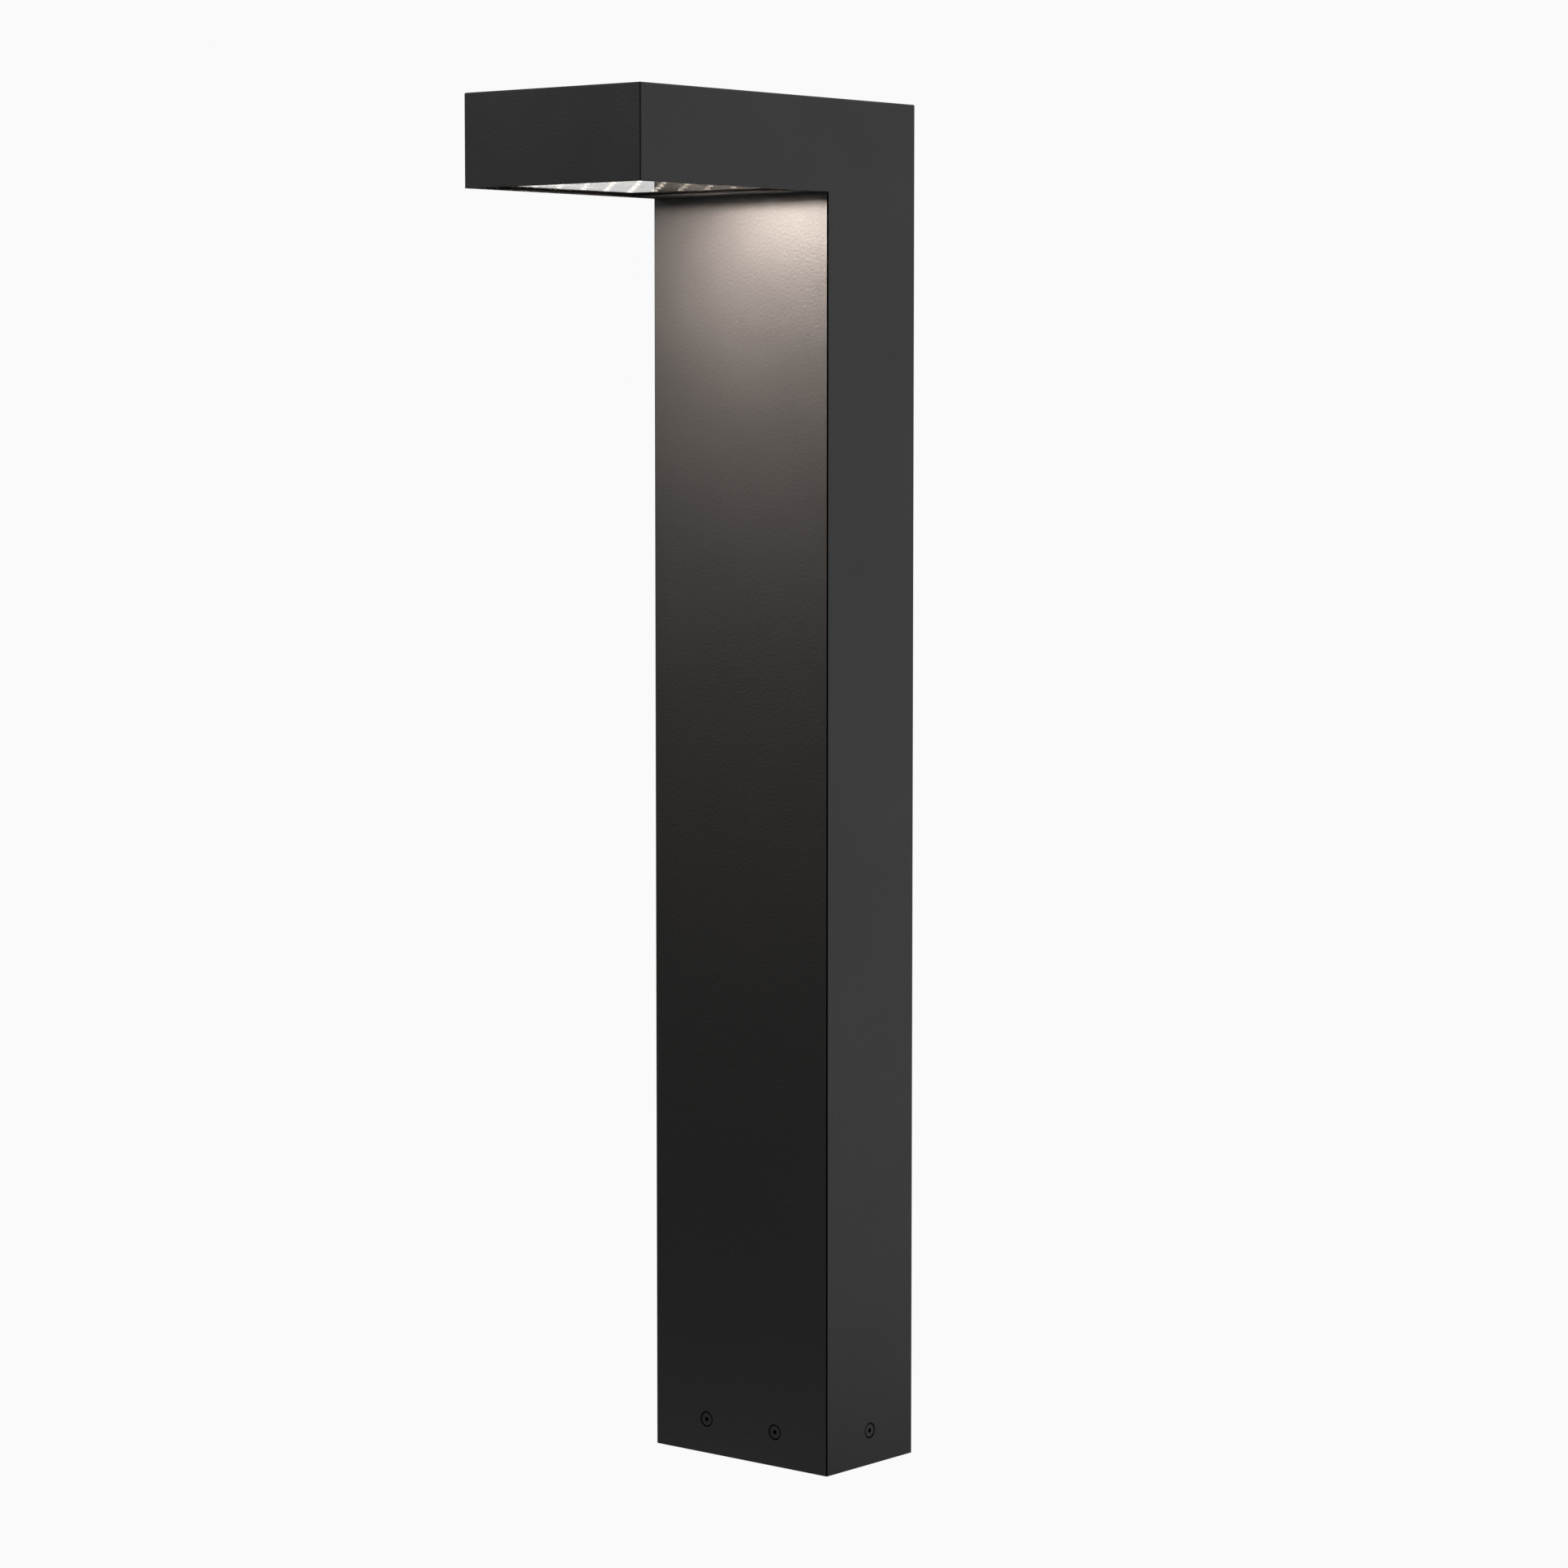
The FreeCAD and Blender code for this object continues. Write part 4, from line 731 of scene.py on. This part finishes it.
# ---------------------------------------------------------------- sub-assemblies
@dataclass
class Housing:
    """Column and box head, welded and coated as one body, with its six screws."""

    side_ratio: float = 1.3
    ring_radius: float = 4.8 * MM
    ring_thickness: float = 2.0 * MM
    ring_depth: float = 0.83 * MM
    ring_section: int = 10
    ring_turns: int = 48
    insert_radius: float = 1.7 * MM
    insert_length: float = 1.2 * MM
    insert_depth: float = 0.8 * MM
    insert_round: float = 0.15 * MM
    insert_sides: int = 6
    weld_reach: float = 0.001 * MM

    def dress(self) -> None:
        """Coat the housing and blacken the screws."""
        dress({"column_tube": COLUMN_COAT, "head_shell": BLACK_COAT, "countersunk_screws": SCREW_COAT})

    def screw_faces(self) -> list[tuple[Vector, Vector]]:
        """Middle of each screw's outer face and the way it faces.

        Returns:
            Pairs of point and unit direction.
        """
        mesh = bmesh.new()
        mesh.from_mesh(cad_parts["countersunk_screws"].data)
        bmesh.ops.remove_doubles(mesh, verts=mesh.verts, dist=self.weld_reach)
        faces = []
        waiting = set(mesh.verts)
        while waiting:
            linked = [waiting.pop()]
            for vert in linked:
                fresh = {edge.other_vert(vert) for edge in vert.link_edges} & waiting
                waiting -= fresh
                linked.extend(fresh)
            low = Vector(tuple(min(v.co[i] for v in linked) for i in range(3)))
            high = Vector(tuple(max(v.co[i] for v in linked) for i in range(3)))
            middle = (low + high) / 2
            axis = 0 if abs(middle.x) / self.side_ratio > abs(middle.y) else 1
            way = Vector((0.0, 0.0, 0.0))
            way[axis] = math.copysign(1.0, middle[axis])
            middle[axis] = high[axis] if way[axis] > 0 else low[axis]
            faces.append((middle, way))
        mesh.free()
        return faces

    def build(self) -> None:
        """Lay a near-black ring round every screw head and a near-black hexagon in its socket, as painted
        shade.
        """
        rings = bmesh.new()
        inserts = bmesh.new()
        upright = Matrix.Rotation(math.pi / 2, 3, "X")
        section = self.ring_thickness / 2
        for point, way in self.screw_faces():
            turn = Vector((0.0, 0.0, 1.0)).rotation_difference(way).to_matrix()
            ring = bmesh.ops.create_circle(rings, segments=self.ring_section, radius=section)["verts"]
            bmesh.ops.rotate(rings, verts=ring, cent=(0, 0, 0), matrix=upright)
            bmesh.ops.translate(rings, verts=ring, vec=(self.ring_radius, 0.0, 0.0))
            edges = list({edge for vert in ring for edge in vert.link_edges})
            before = set(rings.verts) - set(ring)
            bmesh.ops.spin(
                rings, geom=ring + edges, cent=(0, 0, 0), axis=(0, 0, 1), angle=math.tau,
                steps=self.ring_turns, use_merge=True,
            )
            made = [v for v in rings.verts if v not in before]
            bmesh.ops.rotate(rings, verts=made, cent=(0, 0, 0), matrix=turn)
            bmesh.ops.translate(rings, verts=made, vec=point - way * self.ring_depth)
            insert = bmesh.ops.create_cone(
                inserts, cap_ends=True, segments=self.insert_sides, radius1=self.insert_radius,
                radius2=self.insert_radius, depth=self.insert_length,
            )["verts"]
            bmesh.ops.rotate(inserts, verts=insert, cent=(0, 0, 0), matrix=turn)
            bmesh.ops.translate(inserts, verts=insert, vec=point - way * self.insert_depth)
        # painted shade: near-black rings in the countersink gaps
        new_piece("screw_shade_rings", rings, SHADE_RUBBER)
        round_edges(inserts, list(inserts.edges), self.insert_round)
        # painted shade: near-black hexagons in the screw sockets
        new_piece("socket_shade_hexagons", inserts, SHADE_RUBBER)


@dataclass
class GlazedOpening:
    """Pane, gasket and ledge, with a bead of silicone round the pane."""

    bead_width: float = 1.45 * MM
    bead_rounds: int = 4
    rim_gap: float = 0.3 * MM

    def dress(self) -> None:
        """Give pane, gasket and ledge their finishes; the pane lets the light of the lamp through."""
        dress({"cover_glass": PANE, "glass_gasket": SEAL, "glass_ledge": LEDGE})
        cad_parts["cover_glass"].visible_shadow = False

    def build(self) -> None:
        """Run a concave bead into the corner between the pane and the rim."""
        low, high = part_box("cover_glass")
        gap = Vector((self.rim_gap, self.rim_gap, 0.0))
        first, last = low - gap, high + gap
        profile = [(0.0, 0.0)]
        for step in range(self.bead_rounds + 1):
            turn = math.pi / 2 * step / self.bead_rounds
            inward = self.bead_width * (1.0 - math.sin(turn))
            down = self.bead_width * (1.0 - math.cos(turn))
            profile.append((inward, down))
        mesh = bmesh.new()
        edges: list[list[bmesh.types.BMEdge]] = []
        for inward, down in profile:
            corners = (
                (first.x + inward, first.y + inward),
                (last.x - inward, first.y + inward),
                (last.x - inward, last.y - inward),
                (first.x + inward, last.y - inward),
            )
            loop = [mesh.verts.new((x, y, low.z - down)) for x, y in corners]
            edges.append([mesh.edges.new(pair) for pair in zip(loop, loop[1:] + loop[:1])])
        for near, following in zip(edges, edges[1:] + edges[:1]):
            bmesh.ops.bridge_loops(mesh, edges=near + following)
        # a silicone bead that also covers the rim lip; its near-black, shineless finish is painted shade
        # there
        new_piece("glazing_bead", mesh, SHADE_RUBBER)


@dataclass
class LightEngine:
    """Lens plate, board with its LEDs, pad and heat sink, with pips under the lenses that carry a painted
    glow.
    """

    count: int = 6
    package: float = 3.5 * MM
    dome_radius: float = 1.35 * MM
    dome_rise: float = 0.7 * MM
    dome_rings: int = 3
    dome_turns: int = 16
    pad_length: float = 3.0 * MM
    pad_width: float = 1.1 * MM
    pad_height: float = 0.12 * MM
    pad_gap: float = 0.25 * MM
    pad_round: float = 0.33 * MM
    weld_reach: float = 0.01 * MM
    tip_radius: float = 2.0 * MM
    tip_rise: float = 1.3 * MM
    tip_gap: float = 0.02 * MM

    def dress(self) -> None:
        """Give every part of the light engine its finish."""
        dress({
            "reflector_frame": REFLECTOR,
            "lens_array": OPTIC,
            "led_board": BOARD,
            "led_packages": GLOW,
            "thermal_pad": GAP_PAD,
            "heat_sink": SINK,
            "module_standoffs": SINK,
            "module_screws": ZINC,
            "lens_screws": ZINC,
            "board_connector": WHITE_PLASTIC,
        })
        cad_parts["lens_array"].visible_shadow = False

    def sites(self) -> list[Vector]:
        """Centres of the LED packages on their lower face.

        Returns:
            One point per LED.
        """
        low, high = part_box("led_packages")
        half = self.package / 2
        steps = range(self.count)
        pitch_x = (high.x - low.x - self.package) / (self.count - 1)
        pitch_y = (high.y - low.y - self.package) / (self.count - 1)
        corner = Vector((low.x + half, low.y + half, low.z))
        return [corner + Vector((i * pitch_x, j * pitch_y, 0.0)) for i in steps for j in steps]

    def repeat(self, pattern: bmesh.types.BMesh, places: list[Vector]) -> bmesh.types.BMesh:
        """Copy a small mesh to many places.

        Args:
            pattern: the mesh about the origin; it is freed.
            places: where the copies go.

        Returns:
            All the copies as one mesh.
        """
        template = bpy.data.meshes.new("pattern")
        pattern.to_mesh(template)
        pattern.free()
        whole = bmesh.new()
        for place in places:
            before = len(whole.verts)
            whole.from_mesh(template)
            whole.verts.ensure_lookup_table()
            bmesh.ops.translate(whole, verts=whole.verts[before:], vec=place)
        bpy.data.meshes.remove(template)
        return whole

    def dome(self, radius: float, rise: float) -> bmesh.types.BMesh:
        """Spin one closed dome about the origin.

        Args:
            radius: radius of its flat side.
            rise: height of its tip, below the flat side if negative.

        Returns:
            The dome.
        """
        dome = bmesh.new()
        path = [dome.verts.new((0.0, 0.0, 0.0))]
        for ring in range(self.dome_rings + 1):
            turn = math.pi / 2 * ring / self.dome_rings
            path.append(dome.verts.new((radius * math.cos(turn), 0.0, rise * math.sin(turn))))
        edges = [dome.edges.new((a, b)) for a, b in zip(path, path[1:])]
        bmesh.ops.spin(
            dome, geom=path + edges, cent=(0, 0, 0), axis=(0, 0, 1), angle=math.tau,
            steps=self.dome_turns, use_merge=True,
        )
        bmesh.ops.remove_doubles(dome, verts=dome.verts, dist=self.weld_reach)
        return dome

    def build_domes(self) -> None:
        """Set a silicone dome on every LED."""
        dome = self.dome(self.dome_radius, -self.dome_rise)
        new_piece("led_domes", self.repeat(dome, self.sites()), GLOW)

    def build_tips(self) -> None:
        """Rest a spacer pip with a painted glow on the pane under every lens."""
        _, pane_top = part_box("cover_glass")
        level = pane_top.z + self.tip_gap
        places = [Vector((site.x, site.y, level)) for site in self.sites()]
        tips = self.repeat(self.dome(self.tip_radius, self.tip_rise), places)
        # painted glow: the pips give light though they are no lamp, and cast no shadow
        new_piece("lens_tips", tips, TIP_PAINTED_GLOW).visible_shadow = False

    def build_pads(self) -> None:
        """Lay a tinned pad with rounded corners on both sides of every LED."""
        pad = bmesh.new()
        bmesh.ops.create_cube(pad, size=1.0)
        bmesh.ops.scale(pad, verts=pad.verts, vec=(self.pad_width, self.pad_length, self.pad_height))
        upright = [e for e in pad.edges if abs(e.verts[0].co.z - e.verts[1].co.z) > self.pad_height / 2]
        round_edges(pad, upright, self.pad_round)
        board_low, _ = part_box("led_board")
        reach = self.package / 2 + self.pad_gap + self.pad_width / 2
        level = board_low.z - self.pad_height / 2
        places = [Vector((s.x + side * reach, s.y, level)) for s in self.sites() for side in (-1, 1)]
        new_piece("solder_pads", self.repeat(pad, places), SOLDER)

    def build(self) -> None:
        """Make the domes, the spacer pips and the pads."""
        self.build_domes()
        self.build_tips()
        self.build_pads()


@dataclass
class Anchorage:
    """Anchor plate, upstand and clinch nuts inside the foot."""

    def dress(self) -> None:
        """Give the base parts their finishes."""
        dress({"anchor_plate": GALVANISED, "base_upstand": GALVANISED, "clinch_nuts": ZINC})


@dataclass
class GearTray:
    """Folded tray with driver, surge protector and terminal block."""

    def dress(self) -> None:
        """Give tray and gear their finishes."""
        dress({
            "gear_tray": GALVANISED,
            "tray_foot_screws": ZINC,
            "gear_screws": ZINC,
            "gear_nuts": ZINC,
            "driver_case": DRIVER_CASE,
            "driver_end_caps": BLACK_PLASTIC,
            "surge_protector": BLUE_PLASTIC,
            "terminal_block": WHITE_PLASTIC,
            "terminal_clamps": ZINC,
        })


@dataclass
class Wiring:
    """Leads, grommet, vent and protective earth."""

    def dress(self) -> None:
        """Give leads and earth parts their finishes."""
        dress({
            "lead_positive": RED_JACKET,
            "lead_negative": BLACK_JACKET,
            "mains_lead_live": BROWN_JACKET,
            "mains_lead_neutral": BLUE_JACKET,
            "earth_lead": EARTH_JACKET,
            "wire_grommet": SEAL,
            "vent_plug": BLACK_PLASTIC,
            "vent_locknut": BLACK_PLASTIC,
            "earth_stud": BRASS,
            "earth_washer": BRASS,
            "earth_nut": BRASS,
            "earth_ring_terminal": TINNED,
        })


@dataclass
class CableInlet:
    """Gland under the tray's shelf, with grip ribs on its dome nut."""

    ribs: int = 20
    rib_width: float = 1.6 * MM
    rib_depth: float = 0.9 * MM
    rib_inset: float = 1.2 * MM
    foot_inset: float = 3.6 * MM
    rib_round: float = 0.27 * MM

    def dress(self) -> None:
        """Give the gland its finishes."""
        dress({
            "gland_body": GREY_PLASTIC,
            "gland_seal": SEAL,
            "gland_dome_nut": GREY_PLASTIC,
            "gland_locknut": GREY_PLASTIC,
        })

    def build(self) -> None:
        """Set rounded ribs round the dome nut."""
        low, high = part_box("gland_dome_nut")
        radius = (high.x - low.x) / 2
        tall = high.z - low.z - self.rib_inset - self.foot_inset
        middle = low.z + self.foot_inset + tall / 2
        whole = bmesh.new()
        for index in range(self.ribs):
            made = bmesh.ops.create_cube(whole, size=1.0)["verts"]
            bmesh.ops.scale(whole, verts=made, vec=(self.rib_depth, self.rib_width, tall))
            bmesh.ops.translate(whole, verts=made, vec=(radius, 0.0, 0.0))
            turn = Matrix.Rotation(math.tau * index / self.ribs, 3, "Z")
            bmesh.ops.rotate(whole, verts=made, cent=(0, 0, 0), matrix=turn)
        centre = Vector(((low.x + high.x) / 2, (low.y + high.y) / 2, middle))
        bmesh.ops.translate(whole, verts=whole.verts, vec=centre)
        round_edges(whole, list(whole.edges), self.rib_round)
        new_piece("gland_ribs", whole, GREY_PLASTIC)


# ---------------------------------------------------------------- studio
@dataclass
class Studio:
    """Pale floor, soft surrounding light, the lamp's own light and the camera."""

    floor_radius: float = 5.0
    floor_segments: int = 96
    floor_gap: float = 0.1 * MM
    backdrop: float = 0.955
    mirrored: float = 0.7
    near_level: float = 0.3
    near_reach: float = 0.9
    key_level: float = 0.8
    key_start: float = 0.1
    key_direction: Triple = (0.72, 0.62, 0.3)
    soft_level: float = 0.4
    soft_on_floor: float = 0.02
    soft_start: float = 0.25
    soft_direction: Triple = (-0.8, -0.58, 0.25)
    dark_level: float = 0.03
    lamp_power: float = 2.9
    lamp_colour: Colour = (1.0, 0.85, 0.76)
    lamp_spread: float = 170.0
    lamp_share: float = 0.43
    lamp_lift: float = 10.5 * MM
    lamp_shift: float = 14.0 * MM
    fill_power: float = 0.17
    fill_size: float = 0.5
    fill_spread: float = 60.0
    fill_offset: Triple = (-0.75, -0.95, 0.35)
    azimuth: float = 40.082
    elevation: float = 4.797
    distance: float = 2.9
    lens: float = 101.64
    sensor: float = 36.0
    aim: Triple = (0.039, 0.044, 0.006)

    def lobe(
        self, graph: Graph, way: object, direction: Triple, start: float, level: float
    ) -> bpy.types.NodeSocket:
        """Light that comes from around one direction.

        Args:
            graph: the tree to build in.
            way: the direction looked in, of length 1.
            direction: middle of the light.
            start: cosine at which the light begins.
            level: strength at the middle.

        Returns:
            The strength socket.
        """
        node = graph.add("VectorMath")
        node.operation = "DOT_PRODUCT"
        graph.put(node, 0, way)
        graph.put(node, 1, Vector(direction).normalized())
        return graph.spread(node.outputs["Value"], start, 1.0, 0.0, level)

    def surroundings(
        self, graph: Graph, way: object, far: object, soft_level: float
    ) -> bpy.types.NodeSocket:
        """Strength of the studio in a direction: pale to the eye and in a mirror, shaded as a light source.

        Args:
            graph: the tree to build in.
            way: the direction looked in, of length 1.
            far: 0 beside the object and 1 well away from it.
            soft_level: strength at the middle of the softer light.

        Returns:
            The strength socket.
        """
        key = self.lobe(graph, way, self.key_direction, self.key_start, self.key_level)
        soft = self.lobe(graph, way, self.soft_direction, self.soft_start, soft_level)
        open_air = graph.math("ADD", graph.math("ADD", key, soft), self.dark_level)
        shaded = graph.mix(far, self.near_level, open_air)
        path = graph.add("LightPath")
        mirrored = graph.mix(path.outputs["Is Singular Ray"], shaded, self.mirrored)
        return graph.mix(path.outputs["Is Camera Ray"], mirrored, self.backdrop)

    def make_world(self) -> None:
        """Soft surroundings, brightest behind and to the right, dark around the camera."""
        world = bpy.data.worlds.new("studio")
        bpy.context.scene.world = world
        world.use_nodes = True
        graph = Graph(world.node_tree)
        way = graph.add("TexCoord").outputs["Generated"]
        back = graph.add("Background", Color=rgba(WHITE))
        graph.put(back, "Strength", self.surroundings(graph, way, 1.0, self.soft_level))
        output = graph.add("OutputWorld")
        graph.put(output, "Surface", back.outputs[0])

    def make_floor(self) -> None:
        """Round pale floor as bright as the backdrop, clear from below."""
        mesh = bmesh.new()
        bmesh.ops.create_circle(mesh, cap_ends=True, radius=self.floor_radius, segments=self.floor_segments)
        bmesh.ops.translate(mesh, verts=mesh.verts, vec=(0.0, 0.0, -self.floor_gap))
        data = bpy.data.meshes.new("studio_floor")
        mesh.to_mesh(data)
        mesh.free()
        floor = bpy.data.objects.new("studio_floor", data)
        bpy.context.scene.collection.objects.link(floor)
        material = bpy.data.materials.new("studio_floor")
        material.use_nodes = True
        graph = Graph(material.node_tree)
        where = graph.add("TexCoord").outputs["Object"]
        outward = graph.add("VectorMath")
        outward.operation = "NORMALIZE"
        graph.put(outward, 0, where)
        reach = graph.add("VectorMath")
        reach.operation = "LENGTH"
        graph.put(reach, 0, where)
        far = graph.spread(reach.outputs["Value"], 0.0, self.near_reach, 0.0, 1.0)
        glow = graph.add("Emission", Color=rgba(WHITE))
        strength = self.surroundings(graph, outward.outputs[0], far, self.soft_on_floor)
        graph.put(glow, "Strength", strength)
        from_below = graph.add("NewGeometry").outputs["Backfacing"]
        either = graph.add("MixShader", Fac=from_below)
        graph.put(either, 1, glow.outputs[0])
        graph.put(either, 2, graph.add("BsdfTransparent").outputs[0])
        output = graph.add("OutputMaterial")
        graph.put(output, "Surface", either.outputs[0])
        data.materials.append(material)

    def make_lamp(self) -> None:
        """The light that leaves the lenses, as one soft panel just above the pane."""
        low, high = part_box("lens_array")
        _, pane_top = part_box("cover_glass")
        data = bpy.data.lights.new("lens_light", "AREA")
        data.shape = "RECTANGLE"
        data.size = (high.x - low.x) * self.lamp_share
        data.size_y = (high.y - low.y) * self.lamp_share
        data.energy = self.lamp_power
        data.color = self.lamp_colour
        data.spread = math.radians(self.lamp_spread)
        data.cycles.use_multiple_importance_sampling = False
        lamp = bpy.data.objects.new("lens_light", data)
        middle = (low.y + high.y) / 2 + self.lamp_shift
        lamp.location = ((low.x + high.x) / 2, middle, pane_top.z + self.lamp_lift)
        lamp.visible_camera = False
        lamp.visible_transmission = False
        bpy.context.scene.collection.objects.link(lamp)

    def make_fill(self) -> None:
        """A soft light ahead of the head and to its left."""
        low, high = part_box("head_shell")
        middle = Vector(((low.x + high.x) / 2, low.y, (low.z + high.z) / 2))
        offset = Vector(self.fill_offset)
        data = bpy.data.lights.new("head_fill", "AREA")
        data.shape = "DISK"
        data.size = self.fill_size
        data.energy = self.fill_power
        data.spread = math.radians(self.fill_spread)
        fill = bpy.data.objects.new("head_fill", data)
        fill.location = middle + offset
        fill.rotation_euler = offset.to_track_quat("Z", "Y").to_euler()
        fill.visible_camera = False
        fill.visible_transmission = False
        bpy.context.scene.collection.objects.link(fill)

    def make_camera(self) -> None:
        """Camera on the object's near corner, a little above its middle."""
        low, high = (Vector(corner) for corner in CAD_BOX)
        target = (low + high) / 2 + Vector(self.aim)
        turn, rise = math.radians(self.azimuth), math.radians(self.elevation)
        level = math.cos(rise)
        back = Vector((math.sin(turn) * level, -math.cos(turn) * level, math.sin(rise)))
        data = bpy.data.cameras.new("camera")
        data.lens = self.lens
        data.sensor_width = self.sensor
        camera = bpy.data.objects.new("camera", data)
        camera.location = target + back * self.distance
        camera.rotation_euler = back.to_track_quat("Z", "Y").to_euler()
        bpy.context.scene.collection.objects.link(camera)
        bpy.context.scene.camera = camera

    def build(self) -> None:
        """Set the whole studio up."""
        self.make_world()
        self.make_floor()
        self.make_lamp()
        self.make_fill()
        self.make_camera()
        bpy.context.scene.view_settings.view_transform = "Standard"


def main() -> None:
    """Dress the frame, add the finer pieces and set up the studio."""
    logging.basicConfig(level=logging.INFO, format="%(message)s")
    EFFECTS.build()
    housing = Housing()
    housing.dress()
    housing.build()
    opening = GlazedOpening()
    opening.dress()
    opening.build()
    engine = LightEngine()
    engine.dress()
    engine.build()
    Anchorage().dress()
    GearTray().dress()
    Wiring().dress()
    inlet = CableInlet()
    inlet.dress()
    inlet.build()
    Studio().build()


if __name__ == "__main__":
    main()
